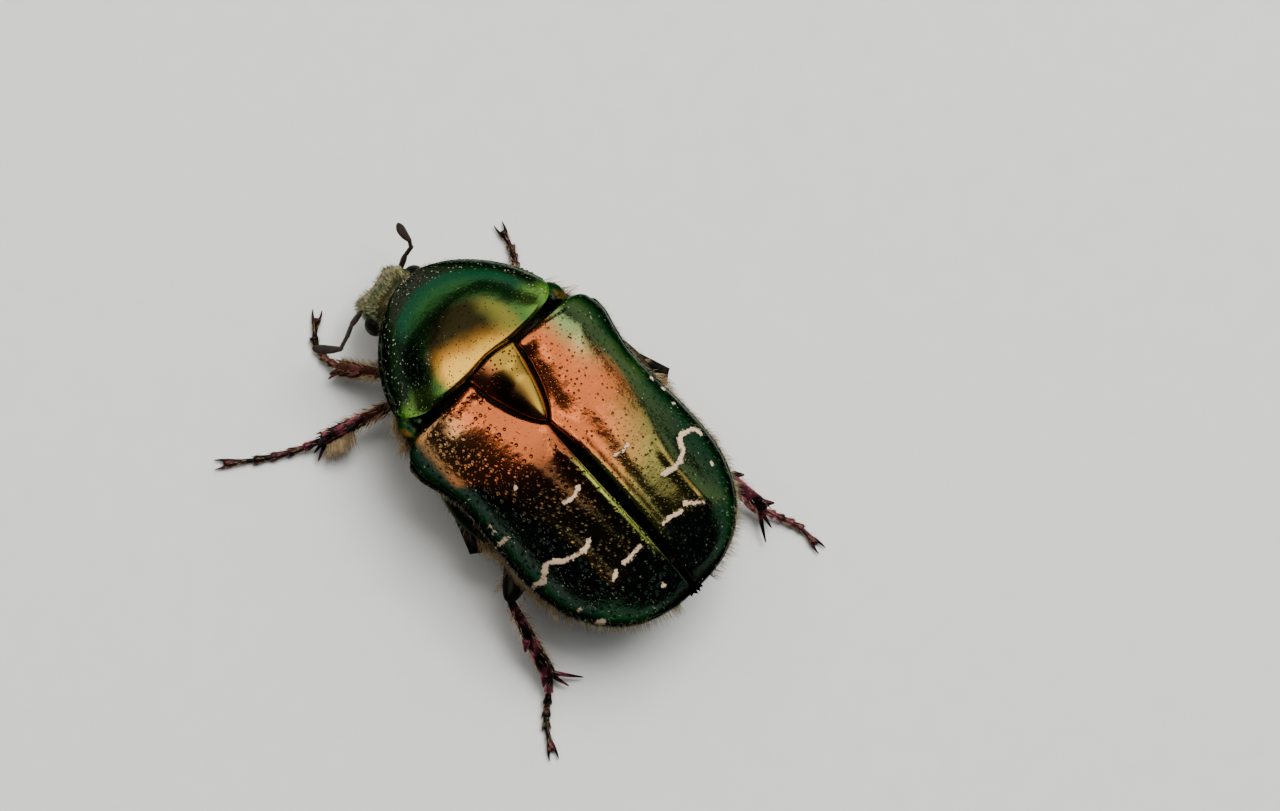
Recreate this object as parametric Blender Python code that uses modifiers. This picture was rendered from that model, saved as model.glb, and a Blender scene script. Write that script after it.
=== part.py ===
# A rose chafer as a still, life-size model, standing on its six feet.
# Metres, +Z up. The head points to -Y and the beetle's left side is +X.
# Shapes are worked out in a body frame: x = 0 is the beetle's plane of symmetry,
# y = 0 the line through the hind corners of the pronotum, and z = 0 the floor.
# At the end the whole beetle moves so that the origin lies under the middle of its box.

import math

import bmesh
import bpy
from mathutils import Matrix, Vector

MM = 0.001
GAP = 0.25 * MM
SHELL = 0.5 * MM
FLOOR = 0.0
WELD = 0.02 * MM
MERGE_STEPS = (0.02 * MM, 0.012 * MM, 0.006 * MM, 0.003 * MM)


def in_metres(rows):
    """A table given in millimetres, in metres."""
    return [tuple(value * MM for value in row) for row in rows]


# The elytra: (y, half width) of their side edge, (y, z) of that edge and of the crown.
ELYTRA_FRONT = 0.9 * MM
SHOULDER_DROP = 0.55 * MM
ELYTRA_END = 12.75 * MM
ELYTRA_WIDTHS = in_metres([
    (0.85, 4.35), (1.3, 4.72), (2.1, 4.9), (3.1, 4.68), (4.2, 4.46),
    (6.0, 4.54), (7.4, 4.62), (9.0, 4.6), (13.0, 4.6),
])
ELYTRA_EDGE = in_metres([(0.9, 4.8), (2.2, 4.72), (4.2, 5.0), (6.2, 4.7), (9.0, 4.5), (12.8, 4.9)])
ELYTRA_CROWN = in_metres([(0.2, 7.55), (2.5, 7.8), (5.0, 7.9), (8.0, 7.75), (12.8, 7.3)])
ROUNDING_START = 8.0 * MM
OUTLINE_ROUNDNESS = 2.2
PROFILE_ROUNDNESS = 2.1
DOME_SQUARENESS = 2.5
TAIL_CLEARANCE = 0.02 * MM

# Relief of the elytra. Ridges and grooves run along their hind part: (distance from the suture,
# width, height). Bumps and dips stand alone: (distance from the suture, y, width, height).
RIDGES = in_metres([(0.0, 0.35, 0.10), (0.85, 0.4, -0.16), (1.9, 0.35, 0.10), (3.35, 0.35, 0.16)])
BUMPS = in_metres([(3.5, 2.1, 0.8, 0.22), (2.5, 10.6, 0.7, 0.20), (1.7, 2.6, 0.8, -0.10)])
RIDGES_RISE = (3.5 * MM, 7.0 * MM)
RIDGES_FALL = (10.0 * MM, 12.3 * MM)

# The pronotum: its hind edge bulges back beside a notch that holds the scutellum.
PRONOTUM_FRONT = -3.98 * MM
PRONOTUM_WIDTH = 3.9 * MM
PRONOTUM_ROUNDNESS = 1.68
PRONOTUM_RISE = 2.9 * MM
PRONOTUM_EDGE = in_metres([(-4.0, 4.8), (-3.5, 4.45), (-2.6, 4.15), (-1.5, 4.25), (0.0, 4.7)])
PROTHORAX_DEPTH = in_metres([(-4.0, 0.4), (-3.0, 1.3), (-2.0, 2.0), (0.0, 2.2)])
HIND_EDGE_BULGE = 0.68 * MM
HIND_EDGE_NOTCH = 0.28 * MM
NOTCH_WIDTH = 0.75 * MM
HIND_FACE = 0.86

SCUTELLUM_WIDTH = 1.3 * MM
SCUTELLUM_TIP = 3.95 * MM
SCUTELLUM_THICK = 0.4 * MM
SCUTELLUM_SUNK = 0.1 * MM
SCUTELLUM_DIP = Vector((0, 1.3)) * MM

# Rows of a tapered piece: (thousandths of its length, half width, half thickness).
# The plates beside the shoulders, from below upwards.
PLATE_ENDS = ((3.95, 0.45, 4.0), (3.5, 0.5, 6.0))
PLATE_ROWS = in_metres([(0, 0.5, 0.3), (500, 0.6, 0.5), (1000, 0.5, 0.35)])

# The trunk under the elytra: (y, half width, z of the widest line, z of the belly).
TRUNK_END = 12.7 * MM
TRUNK_LEVELS = in_metres([
    (0.0, 3.9, 4.2, 2.5), (1.2, 4.4, 4.1, 2.3), (3.0, 4.68, 3.9, 2.1), (4.2, 4.9, 3.6, 2.1),
    (5.3, 4.85, 3.5, 2.2),
    (6.6, 4.5, 3.7, 2.3), (8.5, 4.5, 3.75, 2.35), (10.5, 4.4, 3.85, 2.5), (12.7, 4.3, 4.2, 2.8),
])
VENTRITE_GROOVES = [y * MM for y in (6.9, 7.85, 8.8, 9.75, 10.7)]
GROOVE_DEPTH = 0.1 * MM
GROOVE_WIDTH = 0.13 * MM
WAIST = Vector((0.09, 5.6, 3.9)) * MM
TAIL = Vector((0.06, 11.75, 3.9)) * MM
TAIL_ROUNDING = 10.6 * MM
CUT_SLANT = 0.33
JOINT_LEAN = 0.7 * MM
JOINT_LOW, JOINT_HIGH = 3.0 * MM, 7.0 * MM
JOINT_REACH = 3.0 * MM
NECK_PLACE = Vector((0, -1.1, 4.9)) * MM
NECK_LENGTH = 2.3 * MM
NECK_ROWS = in_metres([(0, 2.5, 1.2), (1000, 2.5, 1.4)])
KNOB_PLACE = Vector((0, 1.35, 2.15)) * MM
KNOB_LENGTH = 1.7 * MM
KNOB_ROWS = in_metres([(0, 0.4, 0.35), (400, 0.55, 0.5), (1000, 0.4, 0.4)])

HEAD_PLACE = Vector((0.74, -3.6, 3.4)) * MM
HEAD_PITCH = math.radians(60)
HEAD_YAW = math.radians(9)
HEAD_LENGTH = 2.9 * MM
HEAD_ORIGIN = 0.31
EYE_PLACE = Vector((1.22, 0.0, 0.05)) * MM
EYE_RADIUS = 0.46 * MM

# Each leg's joints, from the end of the coxa to the knee, the tibia's end and the foot.
FEET = {
    "front_left": {
        "hip": (1.35, -1.8, 2.15), "knee": (3.0, -1.9, 2.45), "ankle": (3.91, -3.29, 0.75),
        "foot": [(4.1, -3.95, 0.38), (3.95, -4.75, 0.25), (3.3, -5.35, 0.22)],
    },
    "front_right": {
        "hip": (-1.35, -1.8, 2.15), "knee": (-3.15, -1.75, 2.45), "ankle": (-3.75, -0.95, 0.75),
        "foot": [(-4.05, -1.5, 0.4), (-4.45, -2.2, 0.26), (-4.62, -2.85, 0.22)],
    },
    "middle_left": {
        "hip": (1.95, 2.0, 2.0), "knee": (3.45, -0.7, 2.5), "ankle": (6.4, -1.66, 0.75),
        "foot": [(7.3, -2.0, 0.38), (8.6, -2.7, 0.25), (9.85, -3.6, 0.22)],
    },
    "middle_right": {
        "hip": (-1.95, 2.0, 2.0), "knee": (-4.1, 3.2, 2.4), "ankle": (-4.55, 5.7, 0.75),
        "foot": [(-4.4, 6.5, 0.38), (-4.0, 7.6, 0.25), (-3.5, 8.5, 0.22)],
    },
    "hind_left": {
        "hip": (2.0, 6.2, 2.0), "knee": (5.45, 8.06, 3.0), "ankle": (6.22, 11.47, 0.8),
        "foot": [(6.93, 12.1, 0.38), (7.6, 12.75, 0.26), (8.1, 13.6, 0.22)],
    },
    "hind_right": {
        "hip": (-2.0, 6.2, 2.0), "knee": (-4.1, 8.7, 2.75), "ankle": (-4.6, 12.4, 0.8),
        "foot": [(-4.95, 13.1, 0.38), (-5.3, 14.0, 0.26), (-5.3, 14.8, 0.22)],
    },
}
FEMUR_WIDTHS = {"front": 0.5 * MM, "middle": 0.55 * MM, "hind": 0.68 * MM}
TIBIA_TEETH = {"front": (0.5, 0.72, 0.94), "middle": (0.55, 0.95), "hind": (0.5, 0.95)}
SPUR_LENGTHS = {"front": (0.5,), "middle": (0.75, 0.55), "hind": (1.2, 0.75)}
SPUR_TIP_HEIGHT = 0.4 * MM

ANTENNAE = {
    "left": {
        "stem": [(2.2, -4.2, 3.15), (2.65, -4.1, 3.45), (3.1, -3.88, 3.75), (3.65, -3.68, 3.8)],
        "club_end": (4.42, -4.46, 3.6),
    },
    "right": {
        "stem": [(-0.4, -4.5, 3.1), (-0.75, -4.68, 3.4), (-1.12, -4.75, 3.65), (-1.27, -5.0, 3.75)],
        "club_end": (-1.4, -5.8, 3.7),
    },
}

COLOURS = {
    "copper_shell": ((0.62, 0.24, 0.12), 1.0, 0.25),
    "green_shell": ((0.08, 0.30, 0.12), 1.0, 0.25),
    "gold_shell": ((0.60, 0.45, 0.10), 1.0, 0.25),
    "dark_body": ((0.05, 0.06, 0.03), 0.6, 0.4),
    "violet_leg": ((0.20, 0.05, 0.07), 0.8, 0.35),
    "eye_black": ((0.01, 0.008, 0.006), 0.0, 0.15),
    "antenna_brown": ((0.06, 0.035, 0.025), 0.2, 0.4),
}


def smooth_table(rows, y):
    """The row of a table at y, eased from one row to the next so that the line stays smooth."""
    if y <= rows[0][0]:
        return rows[0][1:]
    for i in range(len(rows) - 1):
        if y <= rows[i + 1][0]:
            span = rows[i + 1][0] - rows[i][0]
            t = (y - rows[i][0]) / span
            values = []
            for k in range(1, len(rows[0])):
                a, b = rows[i][k], rows[i + 1][k]
                slope_a = slope_b = (b - a) / span
                if i > 0:
                    slope_a = (b - rows[i - 1][k]) / (rows[i + 1][0] - rows[i - 1][0])
                if i + 2 < len(rows):
                    slope_b = (rows[i + 2][k] - a) / (rows[i + 2][0] - rows[i][0])
                values.append(
                    (2 * t**3 - 3 * t**2 + 1) * a + (t**3 - 2 * t**2 + t) * span * slope_a
                    + (3 * t**2 - 2 * t**3) * b + (t**3 - t**2) * span * slope_b
                )
            return tuple(values)
    return rows[-1][1:]


def rounded_end(y, start, end, roundness):
    """1 up to start, then falling to 0 at end along a superellipse."""
    share = min(1.0, max(0.0, (y - start) / (end - start)))
    return max(0.0, 1 - share**roundness) ** (1 / roundness)


def signed_power(value, power):
    return math.copysign(abs(value) ** power, value)


def bump(distance, width):
    """A smooth hill: 1 at distance 0, near 0 at twice the width."""
    return math.exp(-((distance / width) ** 2))


def hind_edge(x):
    """How far behind y = 0 the hind edge of the pronotum lies at x."""
    bulge = HIND_EDGE_BULGE * rounded_end(abs(x), 0.0, PRONOTUM_WIDTH, 3.0)
    return bulge - HIND_EDGE_NOTCH * bump(x, NOTCH_WIDTH)


def joint_lean(z):
    """The joint behind the pronotum leans: its lower part lies further forward than its top."""
    return JOINT_LEAN * min(1.0, max(0.0, (JOINT_HIGH - z) / (JOINT_HIGH - JOINT_LOW)))


def elytra_width(y):
    (width,) = smooth_table(ELYTRA_WIDTHS, y)
    return width * rounded_end(y, ROUNDING_START, ELYTRA_END, OUTLINE_ROUNDNESS)


def elytra_levels(y):
    """(z of the side edge, height of the crown above it) at y."""
    (edge,) = smooth_table(ELYTRA_EDGE, y)
    (crown,) = smooth_table(ELYTRA_CROWN, y)
    return edge, (crown - edge) * rounded_end(y, ROUNDING_START - 1 * MM, ELYTRA_END, PROFILE_ROUNDNESS)


def elytra_relief(x, y):
    """How far the ridges, grooves and bumps lift the surface of an elytron."""
    across = abs(x)
    start, full = RIDGES_RISE
    hind = rounded_end(-y, -full, -start, 2.0) * rounded_end(y, *RIDGES_FALL, 2.0)
    relief = sum(height * bump(across - place, width) for place, width, height in RIDGES) * hind
    for place, place_y, width, height in BUMPS:
        relief += height * bump(math.hypot(across - place, y - place_y), width)
    return relief


def elytra_front(share):
    """The front edge of an elytron, straight and then rounded at the shoulder."""
    return ELYTRA_FRONT + SHOULDER_DROP * max(0.0, (share - 0.75) / 0.25) ** 2


def dome_point(side, share, y, inner):
    """A point of the elytra's outer surface, from x = inner (share 0) to the side edge (share 1)."""
    width = elytra_width(y)
    edge, height = elytra_levels(y)
    if width <= inner:
        return Vector((side * inner, y, edge))
    start = math.asin((inner / width) ** (DOME_SQUARENESS / 2))
    angle = start + (math.pi / 2 - start) * share
    x = width * math.sin(angle) ** (2 / DOME_SQUARENESS)
    lift = math.cos(angle) ** (2 / DOME_SQUARENESS) if share < 1 else 0.0
    z = edge + height * lift + elytra_relief(x, y) * min(1.0, 2 * lift)
    return Vector((side * x, y, z))


def loft(rings, around, surface):
    """A closed mesh from a UV sphere: surface(t, angle) places its points, t from pole to pole."""
    bm = bmesh.new()
    bmesh.ops.create_uvsphere(bm, u_segments=around, v_segments=rings, radius=1)
    for vert in bm.verts:
        t = math.acos(max(-1.0, min(1.0, vert.co.z))) / math.pi
        vert.co = surface(t, math.atan2(vert.co.y, vert.co.x))
    return finished_mesh(bm)


def finished_mesh(bm):
    """A mesh whose faces look outwards."""
    bmesh.ops.recalc_face_normals(bm, faces=bm.faces)
    if bm.calc_volume(signed=True) < 0:
        bmesh.ops.reverse_faces(bm, faces=bm.faces)
    mesh = bpy.data.meshes.new("shape")
    bm.to_mesh(mesh)
    bm.free()
    mesh.shade_smooth()
    mesh.set_sharp_from_angle(angle=math.radians(40))
    return mesh


def limb(length, rows, around=10, rings=9, blunt=3.5, bend=0.0):
    """A closed, tapered piece along +X: rows give (share of length, half width, half thickness)."""

    def surface(t, angle):
        share = (1 - math.cos(math.pi * t)) / 2
        width, thick = smooth_table(rows, share)
        cap = max(0.0, 1 - abs(2 * share - 1) ** blunt) ** (1 / blunt)
        sag = bend * math.sin(math.pi * share)
        y = width * cap * math.cos(angle) + sag
        return Vector((share * length, y, thick * cap * math.sin(angle)))

    return loft(rings, around, surface)


def cone(length, base, tip, around=6):
    """A closed cone or rod along +X from the origin."""
    bm = bmesh.new()
    bmesh.ops.create_cone(bm, cap_ends=True, segments=around, radius1=base, radius2=tip, depth=length)
    bmesh.ops.translate(bm, verts=bm.verts, vec=(0, 0, length / 2))
    bmesh.ops.rotate(bm, verts=bm.verts, cent=(0, 0, 0), matrix=Matrix.Rotation(math.pi / 2, 3, "Y"))
    return finished_mesh(bm)


def frame_along(start, end, upward=(0, 0, 1)):
    """A matrix whose +X runs from start towards end and whose +Z leans towards upward."""
    along = (Vector(end) - Vector(start)).normalized()
    side = Vector(upward).cross(along).normalized()
    up = along.cross(side)
    turn = Matrix((along, side, up)).transposed().to_4x4()
    return Matrix.Translation(Vector(start)) @ turn


def finish_material(name):
    if name in bpy.data.materials:
        return bpy.data.materials[name]
    colour, metallic, roughness = COLOURS[name]
    material = bpy.data.materials.new(name)
    material.use_nodes = True
    shader = material.node_tree.nodes["Principled BSDF"]
    shader.inputs["Base Color"].default_value = (*colour, 1)
    shader.inputs["Metallic"].default_value = metallic
    shader.inputs["Roughness"].default_value = roughness
    return material


def add_object(name, mesh, colour=None, matrix=None):
    """An object in the beetle's collection, with its own material."""
    obj = bpy.data.objects.new(name, mesh)
    mesh.name = name
    BEETLE.objects.link(obj)
    if matrix is not None:
        obj.matrix_world = matrix
    if colour:
        mesh.materials.clear()
        mesh.materials.append(finish_material(colour))
    return obj


def remove(obj):
    mesh = obj.data
    bpy.data.objects.remove(obj)
    if not mesh.users:
        bpy.data.meshes.remove(mesh)


def evaluated_mesh(obj):
    bpy.context.view_layer.update()
    graph = bpy.context.evaluated_depsgraph_get()
    return bpy.data.meshes.new_from_object(obj.evaluated_get(graph))


def apply_modifiers(obj):
    mesh = evaluated_mesh(obj)
    old = obj.data
    obj.modifiers.clear()
    obj.data = mesh
    if not old.users:
        bpy.data.meshes.remove(old)
    keep_largest(obj)


def keep_largest(obj):
    """Drops loose scraps: only the largest connected surface stays."""
    bm = bmesh.new()
    bm.from_mesh(obj.data)
    bm.verts.ensure_lookup_table()
    left = set(bm.verts)
    groups = []
    while left:
        group = {left.pop()}
        edge_of_group = list(group)
        while edge_of_group:
            vert = edge_of_group.pop()
            for edge in vert.link_edges:
                other = edge.other_vert(vert)
                if other not in group:
                    group.add(other)
                    edge_of_group.append(other)
        left -= group
        groups.append(group)
    largest = max(groups, key=len)
    bmesh.ops.delete(bm, geom=[v for v in bm.verts if v not in largest], context="VERTS")
    bm.to_mesh(obj.data)
    bm.free()


def without_slivers(obj):
    """Merges what Booleans leave closer together than a merge step, while the mesh stays closed."""
    for step in MERGE_STEPS:
        bm = bmesh.new()
        bm.from_mesh(obj.data)
        bmesh.ops.triangulate(bm, faces=bm.faces)
        bmesh.ops.remove_doubles(bm, verts=bm.verts, dist=step)
        bmesh.ops.dissolve_degenerate(bm, edges=bm.edges, dist=step)
        bmesh.ops.triangulate(bm, faces=[face for face in bm.faces if len(face.verts) > 3])
        closed = all(len(edge.link_faces) == 2 for edge in bm.edges)
        if closed:
            bm.to_mesh(obj.data)
        bm.free()
        if closed:
            return


def fuse(pieces):
    """Joins closed pieces into the first one with one Boolean union, applied."""
    first, others = pieces[0], pieces[1:]
    group = bpy.data.collections.new("fused_pieces")
    bpy.context.scene.collection.children.link(group)
    for piece in others:
        group.objects.link(piece)
    union = first.modifiers.new("union", "BOOLEAN")
    union.operation = "UNION"
    union.operand_type = "COLLECTION"
    union.collection = group
    union.solver = "EXACT"
    apply_modifiers(first)
    for piece in others:
        remove(piece)
    bpy.data.collections.remove(group)
    return first


def swollen(obj, distance):
    """A copy of a piece, pushed out along its normals, to cut with."""
    mesh = evaluated_mesh(obj)
    bm = bmesh.new()
    bm.from_mesh(mesh)
    bmesh.ops.remove_doubles(bm, verts=bm.verts, dist=0.01 * MM)
    bm.normal_update()
    shifts = []
    for vert in bm.verts:
        facing = sum(vert.normal.dot(face.normal) for face in vert.link_faces) / len(vert.link_faces)
        shifts.append(vert.normal * distance / max(0.5, facing))
    for vert, shift in zip(bm.verts, shifts):
        vert.co += shift
    bm.to_mesh(mesh)
    bm.free()
    cutter = bpy.data.objects.new("cutter", mesh)
    cutter.matrix_world = obj.matrix_world
    cutter.hide_render = True
    cutter.display_type = "WIRE"
    CUTTERS.objects.link(cutter)
    return cutter


def cut_away(obj, cutter):
    """Cuts and applies. EXACT returns empty meshes for these pushed-out cutters, so MANIFOLD does it."""
    cut = obj.modifiers.new("clearance", "BOOLEAN")
    cut.operation = "DIFFERENCE"
    cut.object = cutter
    cut.solver = "MANIFOLD"
    apply_modifiers(obj)
    remove(cutter)


def clear_of(obj, *neighbours):
    """Cuts a piece back so that a gap stays between it and each neighbour."""
    for neighbour in neighbours:
        cut_away(obj, swollen(neighbour, GAP))


def sliced(mesh, cuts):
    """A copy of a closed mesh, kept on the side of each plane that its normal points away from."""
    bm = bmesh.new()
    bm.from_mesh(mesh)
    for place, normal in cuts:
        bmesh.ops.bisect_plane(
            bm, geom=bm.verts[:] + bm.edges[:] + bm.faces[:], dist=1e-7,
            plane_co=place, plane_no=normal, clear_outer=True,
        )
        rim = [edge for edge in bm.edges if edge.is_boundary]
        bmesh.ops.holes_fill(bm, edges=rim, sides=0)
    bmesh.ops.triangulate(bm, faces=[face for face in bm.faces if len(face.verts) > 4])
    return finished_mesh(bm)


def elytron_mesh(side):
    """The outer surface of one elytron, open, for Solidify."""
    across, along = 12, 18
    bm = bmesh.new()
    bmesh.ops.create_grid(bm, x_segments=across, y_segments=along, size=1)
    for vert in bm.verts:
        share = (vert.co.x + 1) / 2
        t = math.sin((vert.co.y + 1) / 4 * math.pi)
        front = elytra_front(share)
        y = front + (ELYTRA_END - TAIL_CLEARANCE - front) * t
        inner = max(GAP / 2, scutellum_width(y - GAP) + GAP)
        if vert.co.y > 0.999:
            inner = GAP / 2
            share = 0
        vert.co = dome_point(side, share, y, inner)
    bmesh.ops.remove_doubles(bm, verts=bm.verts, dist=WELD)
    return open_mesh(bm)


def open_mesh(bm):
    """Turns a roof-like open surface so that its faces look up and out, in triangles."""
    bmesh.ops.triangulate(bm, faces=bm.faces)
    bmesh.ops.recalc_face_normals(bm, faces=bm.faces)
    if sum(face.normal.z for face in bm.faces) < 0:
        bmesh.ops.reverse_faces(bm, faces=bm.faces)
    mesh = bpy.data.meshes.new("surface")
    bm.to_mesh(mesh)
    bm.free()
    mesh.shade_smooth()
    mesh.set_sharp_from_angle(angle=math.radians(40))
    return mesh


def scutellum_width(y):
    """Half the width of the scutellum at y: a triangle with a blunt tip."""
    start = hind_edge(0)
    share = (y - start) / (SCUTELLUM_TIP - start)
    if share >= 1:
        return 0.0
    return SCUTELLUM_WIDTH * (1 - max(0.0, share) ** 1.35) ** 0.85


def make_elytra():
    for side, word in ((1, "left"), (-1, "right")):
        obj = add_object(f"{word}_elytron", elytron_mesh(side), "copper_shell")
        shell = obj.modifiers.new("shell", "SOLIDIFY")
        shell.thickness = SHELL
        shell.offset = -1
        NODES[obj.name] = obj


def make_scutellum():
    bm = bmesh.new()
    bmesh.ops.create_grid(bm, x_segments=7, y_segments=7, size=1)
    for vert in bm.verts:
        t = math.sin((vert.co.y + 1) / 4 * math.pi)
        x_share = vert.co.x
        start = hind_edge(x_share * SCUTELLUM_WIDTH) + GAP
        y = start + (SCUTELLUM_TIP - GAP / 2 - start) * t
        x = x_share * scutellum_width(y)
        edge, height = elytra_levels(y)
        crown = 0.1 * MM * (1 - x_share**2)
        dip = 0.12 * MM * bump((Vector((x, y)) - SCUTELLUM_DIP).length, 0.6 * MM)
        vert.co = Vector((x, y, edge + height + crown - dip - SCUTELLUM_SUNK))
    bmesh.ops.remove_doubles(bm, verts=bm.verts, dist=WELD)
    bmesh.ops.triangulate(bm, faces=bm.faces)
    walls = bmesh.ops.extrude_face_region(bm, geom=bm.faces)
    lower = [part for part in walls["geom"] if isinstance(part, bmesh.types.BMVert)]
    bmesh.ops.translate(bm, verts=lower, vec=(0, 0, -SCUTELLUM_THICK))
    NODES["scutellum"] = add_object("scutellum", finished_mesh(bm), "gold_shell")


def prothorax_point(t, angle):
    """A point of the prothorax: t runs from its front to its hind rim, and on over its hind face."""
    share = min(1.0, t / HIND_FACE)
    y = PRONOTUM_FRONT * math.cos(share * math.pi / 2) ** 1.15
    cap = 1 - max(0.0, t - HIND_FACE) / (1 - HIND_FACE)
    outline = rounded_end(-y, 0.0, -PRONOTUM_FRONT, PRONOTUM_ROUNDNESS)
    rise = rounded_end(-y, 0.0, -PRONOTUM_FRONT, 2.0) ** 1.5
    (edge,) = smooth_table(PRONOTUM_EDGE, y)
    (depth,) = smooth_table(PROTHORAX_DEPTH, y)
    x = PRONOTUM_WIDTH * outline * signed_power(math.cos(angle), 0.9)
    if math.sin(angle) > 0:
        z = PRONOTUM_RISE * rise * math.sin(angle) ** 0.9
    else:
        z = -depth * outline * abs(math.sin(angle)) ** 0.8
    x, z = x * cap, edge + z * cap
    return Vector((x, y + (hind_edge(x) - joint_lean(z)) * share**6, z))


def make_prothorax():
    NODES["prothorax"] = add_object("prothorax", loft(14, 22, prothorax_point), "green_shell")


def trunk_rings():
    """The y of each ring of the lower trunk: round ends, and three rings to each groove."""
    rings = [0.0, 0.0] + [y * MM for y in (1.2, 2.4, 3.6, 4.8, 6.0)]
    for groove in VENTRITE_GROOVES:
        rings += [groove - GROOVE_WIDTH, groove, groove + GROOVE_WIDTH]
    return rings + [TRUNK_END - y * MM for y in (1.1, 0.5, 0.15, 0.0)]


def behind_pronotum(x, y, z):
    """The front of the trunk follows the pronotum's hind face, and that eases off further back."""
    return y + (hind_edge(x) - joint_lean(z) + GAP) * (1 - min(1.0, y / JOINT_REACH))


def lower_trunk_point(t, angle):
    rings = trunk_rings()
    index = round(t * (len(rings) - 1))
    y = rings[index]
    width, level, belly = smooth_table(TRUNK_LEVELS, y)
    cap = 0.0 if index == 0 else rounded_end(y, ROUNDING_START, TRUNK_END, 2.6)
    depth = 0.0 if index == 0 else rounded_end(y, TAIL_ROUNDING, TRUNK_END, 2.2)
    groove = GROOVE_DEPTH if y in VENTRITE_GROOVES else 0.0
    x = (width - groove) * cap * signed_power(math.cos(angle), 0.85)
    if math.sin(angle) > 0:
        z = level + 0.62 * MM * depth * math.sin(angle) ** 0.7
    else:
        z = level - (level - belly - groove) * depth * abs(math.sin(angle)) ** 0.9
    return Vector((x, behind_pronotum(x, y, z), z))


def upper_trunk_point(t, angle):
    inset = SHELL + 2.4 * GAP
    end = ELYTRA_END - 1.4 * MM
    share = min(1.0, max(0.0, (t - 0.1) / 0.9))
    y = end * math.sin(share * math.pi / 2)
    cap = min(1.0, t / 0.1)
    closing = rounded_end(y, 7.5 * MM, end, 2.4)
    width = max(0.0, elytra_width(y) - inset - 0.15 * MM) * closing
    edge, height = elytra_levels(y)
    height = max(0.0, height - inset - 0.1 * MM) * closing
    squareness = 2 / DOME_SQUARENESS
    x = width * cap * signed_power(math.cos(angle), squareness)
    if math.sin(angle) > 0:
        z = edge + height * cap * math.sin(angle) ** squareness
    else:
        z = edge - 1.2 * MM * cap * abs(math.sin(angle)) * closing
    return Vector((x, behind_pronotum(x, y, z), z))


def neck_and_knob():
    """The neck that plugs into the prothorax, and the knob between the middle legs."""
    frame = frame_along(NECK_PLACE, NECK_PLACE + Vector((0, 1, 0)))
    neck = add_object("neck", limb(NECK_LENGTH, NECK_ROWS, 13, 7, 4.0), None, frame)
    frame = frame_along(KNOB_PLACE, KNOB_PLACE + Vector((0, 1, 0.2)))
    knob = add_object("knob", limb(KNOB_LENGTH, KNOB_ROWS, 10, 7), None, frame)
    return neck, knob


def split_off(source, name, place, colour):
    """Parts a wedge off a body with two slanted cuts, so that nobody sees through the gap."""
    cuts = [(place, Vector((side * CUT_SLANT, -1, -CUT_SLANT))) for side in (-1, 1)]
    wedge = add_object(name, sliced(source.data, cuts), colour)
    keep_largest(wedge)
    clear_of(source, wedge)
    return wedge


def make_trunk():
    """Thorax, abdomen and pygidium, modelled whole and then parted."""
    thorax = add_object("hind_thorax", loft(len(trunk_rings()) - 1, 18, lower_trunk_point), "dark_body")
    upper = add_object("trunk_top", loft(11, 14, upper_trunk_point))
    neck, knob = neck_and_knob()
    neck_cutter = swollen(neck, GAP)
    fuse([thorax, upper, knob])
    clear_of(thorax, NODES["prothorax"], NODES["scutellum"])
    without_slivers(thorax)
    fuse([thorax, neck])
    abdomen = split_off(thorax, "abdomen", WAIST, "dark_body")
    pygidium = split_off(abdomen, "pygidium", TAIL, "green_shell")
    for node in (thorax, abdomen, pygidium):
        NODES[node.name] = node
    cut_away(NODES["prothorax"], neck_cutter)


def make_mesepimera():
    """The small side plates that show between the pronotum's hind corners and the shoulders."""
    for side, word in ((1, "left"), (-1, "right")):
        start, end = (Vector((side * x, y, z)) * MM for x, y, z in PLATE_ENDS)
        shape = limb((end - start).length, PLATE_ROWS, 10, 8, 3.0)
        frame = frame_along(start, end, (side, 0, 0))
        plate = add_object(f"{word}_mesepimeron", shape, "green_shell", frame)
        clear_of(plate, NODES["prothorax"], NODES[f"{word}_elytron"])
        clear_of(NODES["hind_thorax"], plate)
        NODES[plate.name] = plate


def head_matrix():
    turn = Matrix.Rotation(HEAD_YAW, 4, "Z") @ Matrix.Rotation(HEAD_PITCH, 4, "X")
    return Matrix.Translation(HEAD_PLACE) @ turn


HEAD_ROWS = in_metres([
    (0, 1.0, 0.8), (250, 1.32, 0.92), (420, 1.3, 0.9), (580, 1.12, 0.66), (800, 1.1, 0.42), (1000, 1.0, 0.28),
])


def head_point(t, angle):
    """The head along its own -Y, from the neck to the front edge of the clypeus."""
    share = (1 - math.cos(math.pi * t)) / 2
    width, thick = smooth_table(HEAD_ROWS, share)
    cap = max(0.0, 1 - abs(2 * share - 1) ** 5) ** 0.2
    squareness = 0.9 - 0.45 * share
    x = width * cap * signed_power(math.cos(angle), squareness)
    z = thick * cap * signed_power(math.sin(angle), squareness)
    notch = 0.16 * MM * bump(x, 0.45 * MM) * share**6
    lip = 0.14 * MM * max(0.0, share - 0.86) / 0.14 * cap
    return Vector((x, (HEAD_ORIGIN - share) * HEAD_LENGTH + notch, z + lip))


def make_head():
    matrix = head_matrix()
    head = add_object("head", loft(14, 16, head_point), "dark_body", matrix)
    for side, word in ((1, "left"), (-1, "right")):
        place = matrix @ Vector((side * EYE_PLACE.x, EYE_PLACE.y, EYE_PLACE.z))
        rows = [(share, EYE_RADIUS, EYE_RADIUS) for share in (0, 1)]
        eye = limb(2 * EYE_RADIUS, rows, 12, 8, 2.0)
        turn = matrix.to_3x3().to_4x4() @ Matrix.Translation((-EYE_RADIUS, 0, 0))
        name = f"{word}_eye"
        NODES[name] = add_object(name, eye, "eye_black", Matrix.Translation(place) @ turn)
    clear_of(head, NODES["left_eye"], NODES["right_eye"])
    NODES["head"] = head
    clear_of(NODES["prothorax"], head, NODES["left_eye"], NODES["right_eye"])


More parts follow.
